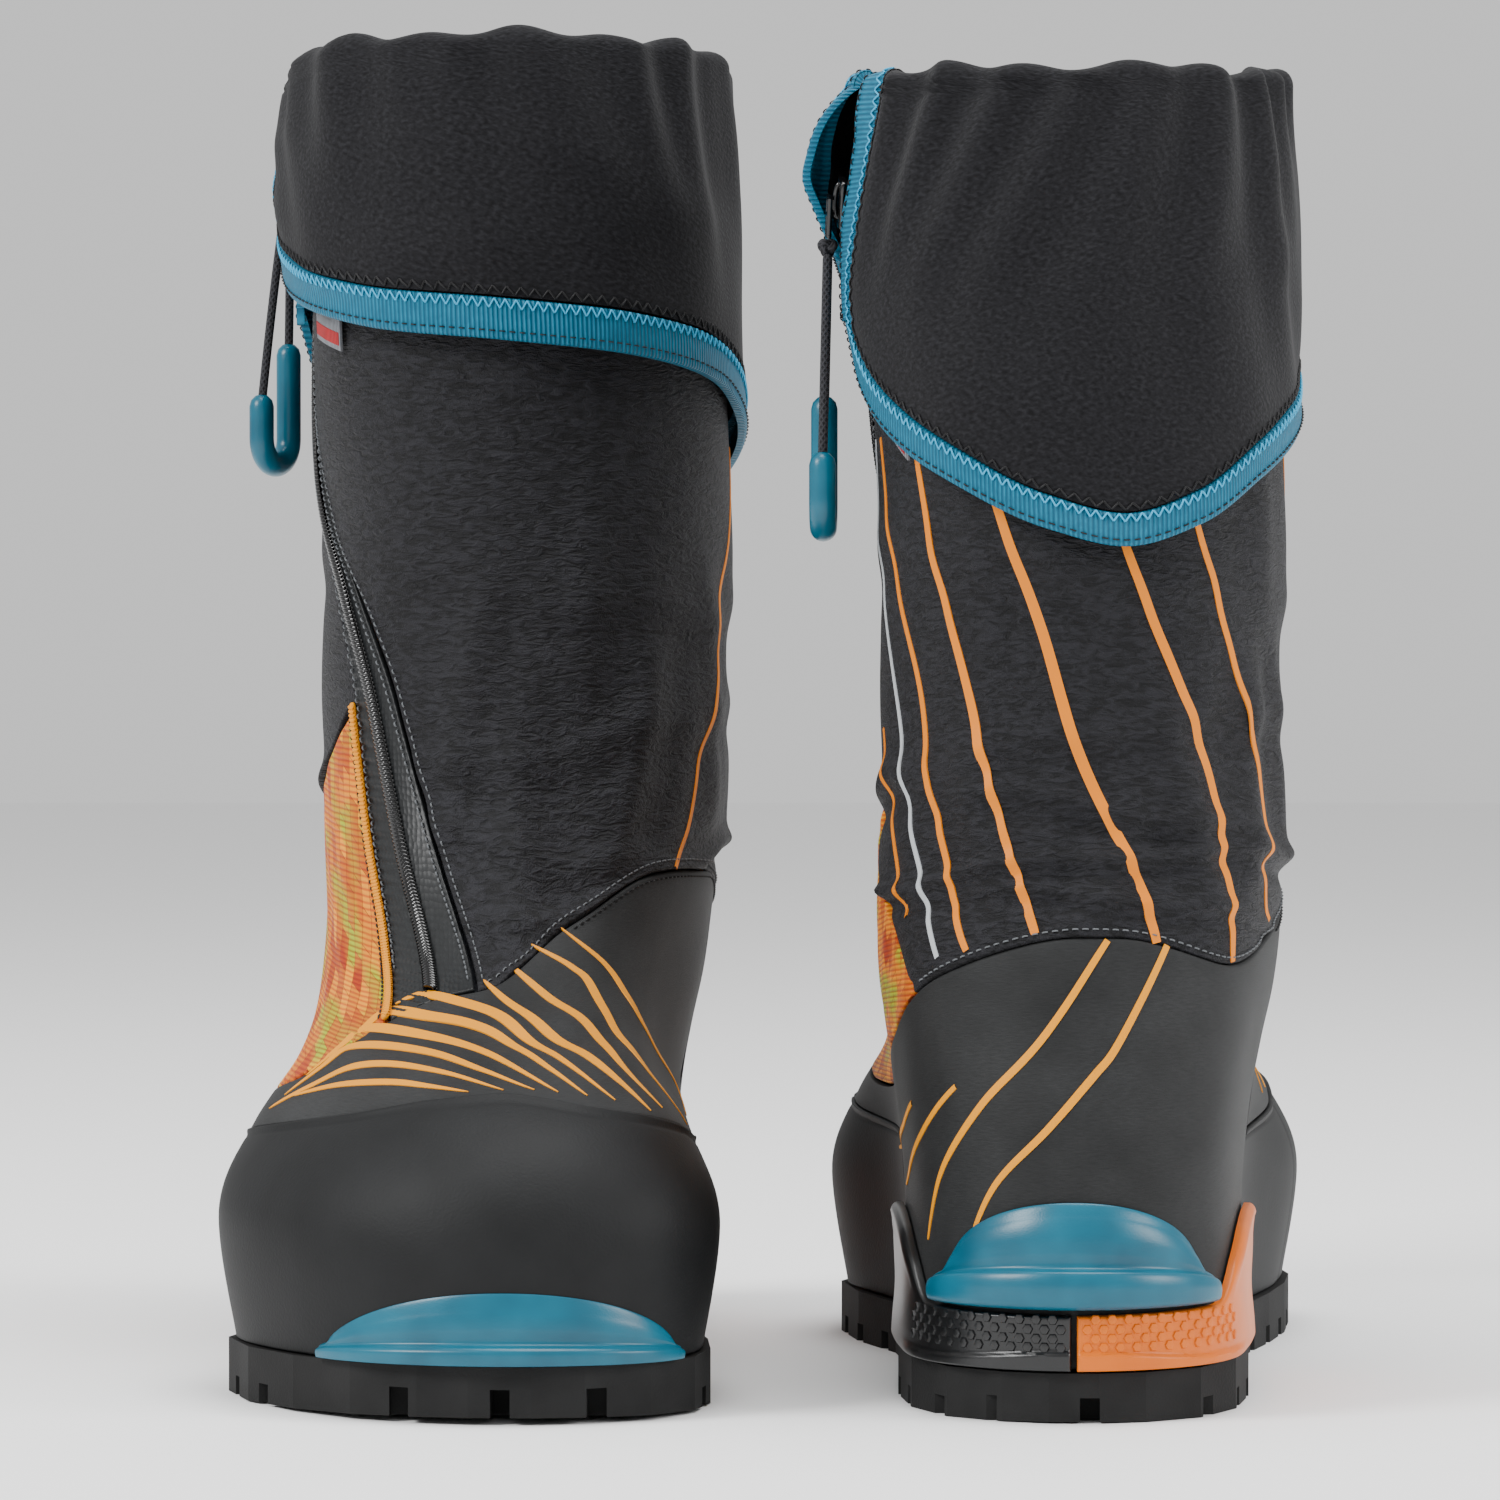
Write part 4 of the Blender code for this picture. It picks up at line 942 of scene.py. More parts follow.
def add_counters(boot):
    for name, sign, finish, slot in (
        ("lateral", 1, "black_tpu", "black_plastic"), ("medial", -1, "orange", "orange_plastic"),
    ):
        def place(up, across, sign=sign):
            turn = 0.6 + (RAND_FROM - 2.1) * (across if sign > 0 else 1 - across)
            return sign * turn, 0.003 + (along(COUNTER_TOP, turn) - 0.003) * up

        patch = Patch()
        skin(
            boot, patch, place, (26, 110), (25, 115), depth=3.2, relief=counter_relief,
            thick=2.5, radius=1.1,
        )
        patch.make(
            boot, f"stabiliser_{name}", finish, [f"heel_counter_{name}"]
        )
    add_hexagons(boot)


def add_hexagons(boot):
    """Small moulded hexagons in the recessed band of the stabiliser, under the heel welt."""
    turn = np.radians(np.arange(7) * 60)
    for name, sign, finish in (("lateral", 1, "black_tpu"), ("medial", -1, "orange")):
        patch = Patch()
        for row in range(4):
            for column in range(12):
                angle = HEXAGON_ANGLE + HEXAGON_STEP * (column + row % 2 / 2)
                level = HEXAGON_LEVEL + row * HEXAGON_ROW
                if angle > HEXAGON_LAST:
                    continue
                angle *= sign
                centre, out = off_form(boot, angle, level, 3.2), form_normal(boot, angle, level)
                across = unit(on_form(boot, angle + 1, level) - on_form(boot, angle - 1, level))
                up = np.cross(across, out)
                ring = across * np.cos(turn)[:, None] + up * np.sin(turn)[:, None]
                rows = [
                    centre + ring * size + out * rise
                    for size, rise in ((1.45, 0.0), (1.2, 0.42), (0.8, 0.5), (0.001, 0.5))
                ]
                patch.grid(np.array(rows))
        patch.make(
            boot, f"stabiliser_hexagons_{name}", finish, closed=True, sharp=25
        )


def add_sole(boot):
    """The outsole, midsole and board keep their shape; the outsole's edges are rounded by 0.6 mm.
    """
    for node, finish in (("outsole", "tread"), ("midsole", "foam"), ("lasting_board", "board")):
        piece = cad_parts[f"{boot.side}_{node}"]
        piece.data.materials.clear()
        piece.data.materials.append(FINISHES[finish])
    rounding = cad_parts[f"{boot.side}_outsole"].modifiers.new("rounding", "BEVEL")
    rounding.width = 0.6 * MM
    rounding.segments = 2
    rounding.limit_method = "ANGLE"
    rounding.angle_limit = math.radians(40)


# ---------------------------------------------------------------- the zip and ankle panel


def zip_angle(level):
    return along([(v, a) for a, v in ZIP_LINE], level)


def beside_zip(boot, level, distance):
    """The angle at a distance (mm) from the zip's centre line, positive towards the toe."""
    middle = zip_angle(level)
    return middle + degrees_of(boot, middle, level, 1.0) * distance


def tape_edge(boot, level, side, gap=0.0):
    """The angle of the zip tape's front (side 1) or rear (side -1) edge, gap mm beyond it."""
    reach = along(TAPE_FRONT if side > 0 else TAPE_REAR, level) + gap
    return beside_zip(boot, level, side * reach)


def zip_feet(boot):
    """The angles of the tape's rear corner, middle and front corner on the shell's seam."""
    level = ZIP_LINE[0][1]
    rear, front = tape_edge(boot, level, -1), tape_edge(boot, level, 1)
    return [float(angle) for angle in (rear, zip_angle(level), front)]


def add_zip(boot):
    """The zip's tape with a channel and puckers, its teeth and its seams."""
    feet_at = zip_feet(boot)
    feet = [float(along(SHELL_TOP, a)) + 0.004 for a in feet_at]

    def place(up, across):
        share = across * 2 - 1
        foot = np.interp(share, (-1, 0, 1), feet)
        level = foot + (ZIP_TOP - foot) * up
        rear, front = tape_edge(boot, level, -1), tape_edge(boot, level, 1)
        middle = zip_angle(level)
        reach = np.where(share < 0, middle - rear, front - middle)
        return middle + reach * share, level

    def puckers(angle, level):
        beside = (angle - zip_angle(level)) / degrees_of(boot, zip_angle(level), level, 1.0)
        rear = smooth_step(-1.5, -4.0, beside)
        channel = -0.5 * bell(beside, -2.0, 1.6)
        return channel + rear * 0.35 * (np.sin(level * 560 + np.sin(level * 97) * 1.5) + 1)

    patch = Patch()
    skin(
        boot, patch, place, (260, 26), (235, 20), depth=-0.2, relief=puckers, thick=1.4, radius=0.5,
    )
    patch.make(boot, "zip_band", "tape", ["zip_tape"])

    teeth = Patch()
    level = np.linspace(0.456, ZIP_TOP - 0.004, 300)
    line = off_form(boot, beside_zip(boot, level, -0.15 * along(TAPE_REAR, level)), level, 0.6)
    level = pick(level, march(line, 1.35))
    for side, shift in ((-1, 0.0), (1, 0.5)):
        stagger = level[:-1] + np.diff(level) * shift
        middle = -0.15 * along(TAPE_REAR, stagger)
        ends = [
            off_form(boot, beside_zip(boot, stagger, middle + side * reach), stagger, 0.9)
            for reach in (-1.6, 2.2)
        ]
        out = form_normal(boot, zip_angle(stagger), stagger)
        stitches(teeth, ends[0], ends[1], out, radius=0.52, height=0.5)
    teeth.make(boot, "zip_teeth", "acetal", ["zip_coil"])

    threads = Patch()
    for side, inset in ((1, -1.6), (-1, -1.4)):
        level = np.linspace(0.475, 0.915, 40)
        places = [(float(tape_edge(boot, v, side, inset)), v) for v in level]
        sew(threads, boot, places, 2.4, base=0.2, relief=puckers, count=300, radius=0.25)
    threads.make(boot, "zip_stitches", "grey_thread")


def panel_edges(boot):
    """The ankle panel's lower and upper edges as rows of (angle, level)."""
    front = zip_feet(boot)[0]
    front -= float(degrees_of(boot, front, 0.4, SEAM_GAP))
    feet = [(a, float(along(SHELL_TOP, a)) + 0.0035) for a in (*PANEL_FEET, front)]
    heads = [(a, float(along(PANEL_TOP, a))) for a in PANEL_HEADS]
    heads += [(float(tape_edge(boot, v, -1, SEAM_GAP)), v) for v in PANEL_FRONT]
    return np.array(feet), np.array(heads)


def add_ankle_panel(boot):
    """The jacquard panel, and twisted piping along its edge beside the zip."""
    feet, heads = panel_edges(boot)

    def place(up, across):
        index = (across * (len(feet) - 1)).ravel()
        low, high = pick(feet, index), pick(heads, index)
        both = low + (high - low) * up.ravel()[:, None]
        return both[:, 0].reshape(up.shape), both[:, 1].reshape(up.shape)

    def weave_relief(angle, level):
        return 0.25 * np.sin(angle * 0.5 + level * 60) * bell(level, 0.45, 0.2)

    patch = Patch()
    skin(boot, patch, place, (70, 120), (55, 110), depth=0.1, relief=weave_relief)
    patch.make(boot, "jacquard_panel", "jacquard", ["ankle_panel"])

    piping = Patch()
    front = heads[-len(PANEL_FRONT) :]
    places = [*front, (feet[-1][0], feet[-1][1] + 0.003)]
    angle, level = line_through(places, 200).T
    middle, out = off_form(boot, angle, level, 0.7), form_normal(boot, angle, level)
    tube(piping, middle, 0.95)
    index = march(middle, 1.25)
    side = unit(np.cross(np.gradient(middle, axis=0), out))
    turns, out = pick(side, index), pick(out, index)
    twist = pick(middle, index) + out * 0.55
    slant = np.roll(twist, -1, axis=0)[:-1]
    stitches(
        piping, twist[:-1] - turns[:-1] * 1.0, slant + turns[:-1] * 1.0, out[:-1],
        radius=0.5, height=0.35,
    )
    piping.make(boot, "panel_piping", "piping")

    threads = Patch()
    inset = float(degrees_of(boot, 120, 0.55, 3.4))
    sew(threads, boot, [(a - inset, v - 0.004) for a, v in places], 2.4, base=0.25, radius=0.26)
    threads.make(boot, "panel_stitches", "black_thread")


# ---------------------------------------------------------------- the gaiter


# Sagging folds round the leg: level, slope, width in level and height in mm.
SAGS = (
    (0.49, 0.02, 0.010, 0.9), (0.535, -0.03, 0.011, 1.3), (0.60, 0.035, 0.013, 1.1),
    (0.665, -0.03, 0.014, 0.9), (0.775, 0.02, 0.012, 0.6),
)
# Folds down the leg: angle, lean in degrees per level, width in degrees, lowest and highest
# level, and height in mm.
LEG_FOLDS = (
    (20, 70, 5.0, 0.46, 0.66, 1.5), (352, -60, 4.5, 0.45, 0.63, 1.6),
    (335, 50, 5.0, 0.48, 0.70, 1.3), (310, -40, 6.0, 0.50, 0.72, 1.4),
    (286, 45, 5.0, 0.55, 0.74, 1.2), (250, -50, 6.0, 0.60, 0.78, 1.3),
    (215, 60, 6.0, 0.58, 0.74, 1.6), (182, -30, 6.0, 0.52, 0.70, 1.4),
    (200, 20, 5.0, 0.70, 0.82, 0.9), (5, 30, 6.0, 0.68, 0.78, 0.9),
    (300, 25, 6.0, 0.74, 0.84, 0.9), (168, 60, 5.0, 0.60, 0.78, 1.1),
)


def gaiter_relief(angle, level):
    """Sag wrinkles low on the shaft, a fold over the instep, and soft unevenness all over."""
    angle = angle % 360
    a = np.radians(angle)
    uneven = 0.6 * np.sin(3 * a + 31 * level) + 0.5 * np.sin(5 * a - 47 * level + 1.3)
    folds = np.zeros_like(angle * level)
    for middle, lean, width, low, high, height in LEG_FOLDS:
        centre = middle + lean * (level - (low + high) / 2)
        apart = (angle - centre + 180) % 360 - 180
        reach = smooth_step(low - 0.03, low + 0.04, level)
        reach = reach * smooth_step(high + 0.03, high - 0.04, level)
        ridge = bell(apart, 0, width) - 0.5 * bell(apart, 2.2 * width, width)
        folds = folds + 1.3 * height * ridge * reach
    for at, slope, width, height in SAGS:
        line = at + slope * np.sin(a) + 0.006 * np.sin(7 * a)
        ridge = bell(level, line, width) - 0.6 * bell(level, line - 1.9 * width, width)
        folds = folds + height * ridge
    return (uneven * 0.6 + folds) * smooth_step(0.93, 0.88, level)


def add_gaiter(boot):
    """The gaiter's cloth, from the front of the zip tape round the leg to its rear."""
    start = zip_feet(boot)[2]
    start += float(degrees_of(boot, start, 0.465, SEAM_GAP))
    stop = 360 + float(tape_edge(boot, 0.6985, -1, SEAM_GAP))

    def sides(level):
        level = np.maximum(level, ZIP_LINE[0][1])
        return tape_edge(boot, level, 1, SEAM_GAP), 360 + tape_edge(boot, level, -1, SEAM_GAP)

    def place(up, across):
        angle = start + (stop - start) * across
        foot = np.where(angle > 400.5, along(PANEL_TOP, angle - 360), along(SHELL_TOP, angle % 360))
        foot = foot + 0.0015
        front, rear = sides(foot)
        turn = (angle - front) / (rear - front)
        level = foot + (GAITER_TOP - foot) * up
        front, rear = sides(level)
        return front + turn * (rear - front), level

    patch = Patch()
    skin(boot, patch, place, (150, 330), (170, 470), relief=gaiter_relief, radius=0.9)
    patch.make(boot, "gaiter_cloth", "gaiter", ["gaiter"])

    for name, finish, lines in (
        ("gaiter_print", "gaiter_orange", GAITER_LINES),
        ("gaiter_pale_print", "white", (PALE_LINE,)),
    ):
        printed = Patch()
        for width, *places in lines:
            ribbon(
                printed, boot, unwrapped(places),
                lambda s, w=width: w * (0.75 + 0.25 * np.sin(np.pi * s) ** 0.5),
                relief=gaiter_relief, count=140,
            )
        printed.make(boot, name, finish)

    threads = Patch()
    foot = [(a, float(along(SHELL_TOP, a % 360)) + 0.0105) for a in np.linspace(start + 3, 398, 50)]
    sew(threads, boot, foot, 2.6, base=0.1, relief=gaiter_relief, count=500, radius=0.22)
    front = [(float(tape_edge(boot, v, 1, SEAM_GAP + 2.2)), v) for v in np.linspace(0.48, 0.90, 40)]
    sew(threads, boot, front, 2.6, base=0.1, relief=gaiter_relief, count=300, radius=0.24)
    threads.make(boot, "gaiter_stitches", "grey_thread")


# ---------------------------------------------------------------- the cuff


class Flap:
    """The cuff's outer leg: a turn runs from 0 at the slit's front edge to 1 at its rear edge."""

    def __init__(self, boot):
        self.boot = boot
        front, rear = self.angle(0.0, FLAP_STRAIGHT), self.angle(1.0, FLAP_STRAIGHT)
        girth = float((rear - front) / degrees_of(boot, 180, FLAP_STRAIGHT, 1.0))
        self.margin = BINDING_WIDTH / girth
        self.seam = 0.5 / girth

    def angle(self, turn, level):
        level = np.maximum(level, FLAP_STRAIGHT)
        front = beside_zip(self.boot, level, SLIT_HALF)
        rear = 360 + beside_zip(self.boot, level, -SLIT_HALF)
        return front + turn * (rear - front)

    def edge(self, turn):
        """The level of the free edge."""
        angle = self.angle(turn, FLAP_STRAIGHT)
        return along(FLAP_EDGE, (angle - FLAP_EDGE[0][0]) % 360 + FLAP_EDGE[0][0])

    def drop(self, turn, level):
        return np.clip((1 - level) / (1 - self.edge(turn)), 0, 1)

    def point(self, turn, level, extra=0.0):
        """A place on the flap's outer face. It stands off further down, and beside the slit.
        Levels from 1 to FOLD_LEVELS more run over the fold to its inner side."""
        turn, level = np.broadcast_arrays(turn, level)
        low = np.minimum(level, 1)
        drop = self.drop(turn, low)
        flare = np.exp(-turn / 0.05) + 0.1 * np.exp((turn - 1) / 0.04)
        out = FLAP_OUT + FLAP_LATERAL * np.sin(np.radians(self.angle(turn, low)))
        offset = FOLD_OFFSET + (out - FOLD_OFFSET) * drop**0.8
        offset = offset + self.boot.flare * flare * np.sin(np.pi * drop) + extra
        bend = np.clip((level - 1) / FOLD_LEVELS, 0, 1) * np.pi
        radius = FOLD_RADIUS + extra
        folds = gathers(self.boot.folds, turn, drop) * (0.35 + 0.65 * np.cos(bend / 2))
        offset = offset + folds - radius * (1 - np.cos(bend))
        point = off_form(self.boot, self.angle(turn, low), low, offset)
        point[..., 2] += (radius + rim_lift(turn)) * np.sin(bend)
        return point


# Folds of the gathered cuffs: turn, drift on the way down, width, height in mm. The left cuff
# is pulled together towards the medial side of the heel, the right one hangs more smoothly.
LEFT_FOLDS = (
    (0.06, 0.03, 0.014, 1.8), (0.13, -0.03, 0.016, 1.6), (0.21, 0.05, 0.016, 2.0),
    (0.30, -0.04, 0.018, 1.6), (0.38, 0.05, 0.016, 2.0), (0.46, 0.02, 0.015, 2.2),
    (0.535, -0.05, 0.013, 2.8), (0.575, -0.09, 0.013, 3.2), (0.615, -0.12, 0.012, 3.2),
    (0.655, -0.10, 0.012, 2.8), (0.70, -0.03, 0.014, 2.2), (0.75, 0.04, 0.015, 2.0),
    (0.80, 0.06, 0.014, 2.6), (0.85, 0.05, 0.013, 2.6), (0.90, 0.03, 0.011, 2.4),
    (0.95, 0.01, 0.010, 2.2),
)
RIGHT_FOLDS = (
    (0.04, 0.03, 0.013, 2.0), (0.10, 0.02, 0.016, 1.6), (0.17, -0.02, 0.018, 1.7),
    (0.235, 0.03, 0.016, 1.5), (0.275, -0.02, 0.012, 2.4), (0.33, 0.05, 0.019, 1.7),
    (0.40, 0.01, 0.013, 2.6), (0.45, -0.02, 0.013, 2.4), (0.52, 0.03, 0.016, 2.0),
    (0.60, -0.04, 0.015, 2.2), (0.68, 0.05, 0.016, 2.2), (0.76, -0.03, 0.015, 2.2),
    (0.84, 0.04, 0.014, 2.2), (0.92, -0.02, 0.012, 2.0),
)


def gathers(folds, turn, drop):
    """Folds that start at the collar's fold and die out towards the binding."""
    total = 0.5 * np.sin(turn * 61) * np.sin(drop * 7 + turn * 23)
    for at, drift, width, height in folds:
        across = bell(turn, at + drift * drop, width * (1 + 1.4 * drop))
        groove = bell(turn, at + drift * drop + 2.2 * width, width * (1 + drop))
        total = total + height * (across - 0.5 * groove) * smooth_step(1.02, 0.2, drop)
    sag = 1.4 * bell(drop, 0.6 + 0.14 * np.sin(turn * 9), 0.1) * (1 + np.sin(turn * 31 + 1))
    sag = sag + 1.1 * bell(drop, 0.35 + 0.1 * np.sin(turn * 14 + 2), 0.08) * np.sin(turn * 23)
    return (total + 0.5 * sag) * smooth_step(1.0, 0.8, drop)


def rim_lift(turn):
    """How far the collar's fold waves up and down, in mm."""
    return 0.8 * np.sin(turn * 44) + 0.9 * np.sin(turn * 97 + 2)


def add_cuff(boot):
    """The cuff: up the flap from its edge, over the collar's fold and a way down inside it."""
    flap = Flap(boot)
    lift = BINDING_WIDTH / TOP_SPAN
    columns = 420
    turns = np.linspace(flap.margin, 1 - flap.margin, columns)
    wide = np.linspace(0, 1, columns)
    rows, heights = [], []
    for share in np.linspace(1, 0, 46):
        level = BINDING_START + (flap.edge(turns) + lift - BINDING_START) * share
        rows.append(flap.point(turns, level))
        heights.append(level)
    for level in (0.994, 1.0):
        past_binding = (level - BINDING_START) / (1 - BINDING_START)
        rows.append(flap.point(turns + (wide - turns) * past_binding, np.full(columns, level)))
        heights.append(np.full(columns, level))
    for bend in np.linspace(0.08, 0.94, 12):
        rows.append(flap.point(wide, np.full(columns, 1 + bend * FOLD_LEVELS)))
        heights.append(np.full(columns, 1 + bend * 0.027))
    for level in (0.985, 0.965, GAITER_TOP + 0.002):
        inner = -CUFF_WALL + 0.25 * gathers(boot.folds, wide, 0.3) * (level > 0.95)
        rows.append(off_form(boot, flap.angle(wide, level), level, inner))
        heights.append(np.full(columns, 2.04 - level))
    # The heights run on over the fold and down the inner side, so that the weave does too.
    heights = np.array(heights)
    u = boot.weave(np.broadcast_to(flap.angle(wide, 0.95), heights.shape), 0)[0]
    patch = Patch()
    patch.grid(np.array(rows), u, heights * boot.up_mm[-1] * MM)
    patch.make(boot, "cuff_cloth", "cuff", ["cuff"], sharp=70)
    add_binding(boot, flap, lift)


def binding_outline(flap, lift, count=260):
    """Pairs of (turn, level) on the tape's free edge and on its inner edge. The tape starts
    and ends inside the collar's fold."""
    turns = np.linspace(flap.margin, 1 - flap.margin, count)
    near, far = flap.margin - flap.seam, 1 - flap.margin + flap.seam
    low = flap.edge(turns) + lift
    over = np.linspace(1 + 0.85 * FOLD_LEVELS, 1, 24)
    down = np.linspace(0, 0.96, 60)
    front = np.concatenate([over, 0.998 + (low[0] - 0.998) * down])
    rear = np.concatenate([over, 0.998 + (low[-1] - 0.998) * down])[::-1]
    free = [(0, v) for v in front]
    free += [(t, float(flap.edge(t))) for t in (0, *turns[2:-2], 1)]
    free += [(1, v) for v in rear]
    inner = [(near, v) for v in front]
    inner += [(t, float(flap.edge(t)) + lift - 0.0008) for t in (near, *turns[2:-2], far)]
    inner += [(far, v) for v in rear]
    return np.array(free), np.array(inner)


def add_binding(boot, flap, lift):
    free, inner = binding_outline(flap, lift)
    shares = np.array([0, 0, 0.02, 0.07, 0.14, 0.5, 0.86, 0.93, 0.98, 1, 1])
    heights = np.array([-2.6, -0.9, -0.35, -0.1, 0, 0.12, 0, -0.1, -0.35, -0.9, -2.6])
    rows = []
    for share, height in zip(shares, heights):
        turn, level = (free + (inner - free) * share).T
        rows.append(flap.point(turn, level, 0.4 + height))
    points = np.array(rows)
    u, v = np.meshgrid(run_along(points[5]), shares * BINDING_WIDTH, indexing="xy")
    patch = Patch()
    patch.grid(points, u * MM, v * MM)
    patch.make(
        boot, "binding_tape", "binding", ["cuff_binding"]
    )
    add_binding_stitches(boot, flap, free, inner)


def add_binding_stitches(boot, flap, free, inner):
    """Pale zigzag over the tape's inner edge, a dark running stitch near its free edge and a
    black zigzag on the cloth beside it."""

    def line(share, extra):
        turn, level = (free + (inner - free) * share).T
        turn = np.clip(turn, 0.001, 0.999)
        return flap.point(turn, level, extra), flap.point(turn, level, extra + 1.0)

    def zigzag(name, finish, shares, extra, pitch, radius):
        (low, above), (high, _) = (line(share, extra) for share in shares)
        index = march((low + high) / 2, pitch)
        out = unit(pick(above - low, index))
        even = np.arange(len(index))[:, None] % 2 == 0
        ends = np.where(even, pick(low, index), pick(high, index))
        patch = Patch()
        stitches(patch, ends[:-1], ends[1:], out[:-1], radius=radius, height=0.15)
        patch.make(boot, name, finish)

    zigzag("binding_zigzag", "teal_thread", (0.74, 0.97), 0.62, 1.5, 0.26)
    zigzag("cloth_zigzag", "black_thread", (1.08, 1.28), 0.2, 1.9, 0.28)
    low, above = line(0.2, 0.55)
    index = march(low, 2.8)
    stop = index[:-1] + np.diff(index) * 0.6
    patch = Patch()
    out = unit(pick(above - low, stop))
    stitches(patch, pick(low, index[:-1]), pick(low, stop), out, radius=0.22)
    patch.make(boot, "binding_stitches", "black_thread")


def add_labels(boot):
    """Two blank woven tabs that hang out from under the cuff's edge and follow it."""
    for name, middle, width, drop in (("front", 125, 14.0, 11.0), ("rear", 64, 26.0, 8.5)):

        def place(up, across, middle=middle, width=width, drop=drop):
            angle = middle + (across - 0.5) * width
            top = along(FLAP_EDGE, np.where(angle > 84, angle, angle + 360)) + 0.003
            return angle, top - drop / TOP_SPAN * (1 - up)

        patch = Patch()
        skin(boot, patch, place, (12, 24), (drop, width), depth=2.4, thick=0.8, radius=0.35)
        patch.make(boot, f"{name}_label", "label", [f"label_{name}"])
        edge = Patch()
        low, high = (0.12, 0.42) if name == "front" else (0.1, 0.62)

        def band(up, across, place=place, low=low, high=high):
            return place(low + up * (high - low), 0.04 + 0.92 * across)

        skin(boot, edge, band, (6, 24), (drop * 0.4, width), depth=2.55, thick=0.2, radius=0.12)
        edge.make(boot, f"{name}_label_band", "red_label")


# ---------------------------------------------------------------- the inner boot


def add_inner_boot(boot):
    """The padded bootie: an outer wall, a round rim and a quilted lining down to its floor."""
    angle = np.linspace(0, 360, 96, endpoint=False)
    outer, inner = LINER_OFFSET, LINER_OFFSET - LINER_WALL
    rows = [off_form(boot, angle, level, outer) for level in np.linspace(0.10, LINER_TOP, 30)]
    rim = off_form(boot, angle, LINER_TOP, (outer + inner) / 2)
    out = form_normal(boot, angle, LINER_TOP)
    for bend in range(20, 180, 20):
        turn = math.radians(bend)
        point = rim + out * (LINER_WALL / 2 * math.cos(turn))
        point[:, 2] += LINER_WALL / 2 * math.sin(turn)
        rows.append(point)
    for level in np.linspace(LINER_TOP, 0.10, 60):
        quilt = 0.9 * abs(math.sin(level * 62)) * smooth_step(0.2, 0.4, level)
        rows.append(off_form(boot, angle, level, inner + quilt - 0.9))
    floor = rows[-1].copy()
    floor[:, 2] = LINER_FLOOR
    rows += [floor, np.repeat(floor.mean(0)[None], len(angle), 0)]
    patch = Patch()
    patch.grid(np.array(rows), wrap=True)
    liner = patch.make(
        boot, "bootie", "liner", ["inner_boot"], closed=True, sharp=70
    )

    for name, low, high, start, stop, depth, finish in (
        ("flap", 0.45, 0.82, 150, 210, LINER_OFFSET + 2.1, "felt"),
        ("strap", 0.74, 0.765, 90, 270, LINER_OFFSET + 4.1, "trim"),
    ):
        def place(up, across, low=low, high=high, start=start, stop=stop):
            return start + (stop - start) * across, low + (high - low) * up

        piece = Patch()
        size = (high - low) * 400, (stop - start) * 0.9
        skin(boot, piece, place, (16, 40), size, depth, thick=1.2, radius=0.5)
        piece.make(boot, f"bootie_{name}", finish, [f"inner_boot_{name}"])

    turn = np.linspace(0, math.pi, 40)
    rim = off_form(boot, 0, LINER_TOP, LINER_OFFSET - LINER_WALL / 2)
    loop = rim + np.stack([9 * np.cos(turn), 0 * turn, 0.5 + 17 * np.sin(turn)], 1)
    webbing = Patch()
    across = np.array([0.0, 1.0, 0.0])
    out = unit(np.stack([np.cos(turn), 0 * turn, np.sin(turn)], 1))
    outline = (-3.4, 0), (-3.1, 0.7), (0, 0.85), (3.1, 0.7), (3.4, 0), (3.1, -0.7), (-3.1, -0.7)
    rows = [loop + across * side * 0.55 + out * rise for side, rise in outline]
    webbing.grid(np.array(rows).transpose(1, 0, 2), wrap=True)
    webbing.make(
        boot, "bootie_pull_loop", "trim", ["inner_boot_pull_loop"],
        closed=True,
    )

    sole = off_form(boot, angle, 0.10, inner - 1.2)
    rows = []
    for height, inset in ((0.3, 0), (2.6, 0), (3.6, 0.6), (3.8, 1.6)):
        ring = sole + (sole.mean(0) - sole) * (inset / 50)
        ring[:, 2] = LINER_FLOOR + height
        rows.append(ring)
    rows += [np.repeat(rows[-1].mean(0)[None], len(angle), 0)]
    rows.insert(0, np.repeat(rows[0].mean(0)[None], len(angle), 0))
    bed = Patch()
    bed.grid(np.array(rows), wrap=True)
    bed.make(boot, "insole", "felt", ["footbed"], closed=True)


# ---------------------------------------------------------------- the slider and the pull


def slider_frame(boot):
    """The slider's middle, and its axes as rows: sideways, out of the boot, and up the zip."""
    level = boot.slider_level
    low = on_form(boot, zip_angle(SLIDER_AIM), SLIDER_AIM)
    high = on_form(boot, zip_angle(level), level)
    out = form_normal(boot, zip_angle(level), level)
    up = unit(high - low)
    up = unit(up - out * (up @ out))
    origin = off_form(boot, zip_angle(level), level, SLIDER_OFFSET)
    return origin, np.array([np.cross(out, up), out, up])


def add_slider(boot):
    origin, axes = slider_frame(boot)
    patch = Patch()
    shape = ((-6.4, 0.80), (-6.0, 0.9), (-3, 0.84), (0, 0.84), (3.5, 0.98), (6.0, 1.0), (6.4, 0.9))
    for y, half_y, size in ((-2.3, 0.95, 4.0), (1.2, 0.85, 3.7)):
        bar(patch, origin, axes, [(z, 0, y, size * w, half_y) for z, w in shape])
    bar(patch, origin, axes, [(1.5, 0, -0.6, 1.2, 2.0), (6.0, 0, -0.6, 1.6, 2.0)])
    arch = np.linspace(0, math.pi, 15)
    bridge = np.stack([0 * arch, 1.9 + 1.0 * np.sin(arch), 0.6 + 4.6 * np.cos(arch)], 1)
    tube(patch, origin + bridge @ axes, 0.65, sides=10)
    patch.make(
        boot, "slider", "acetal", ["zip_slider"], body="slider", closed=True
    )
    return origin, axes


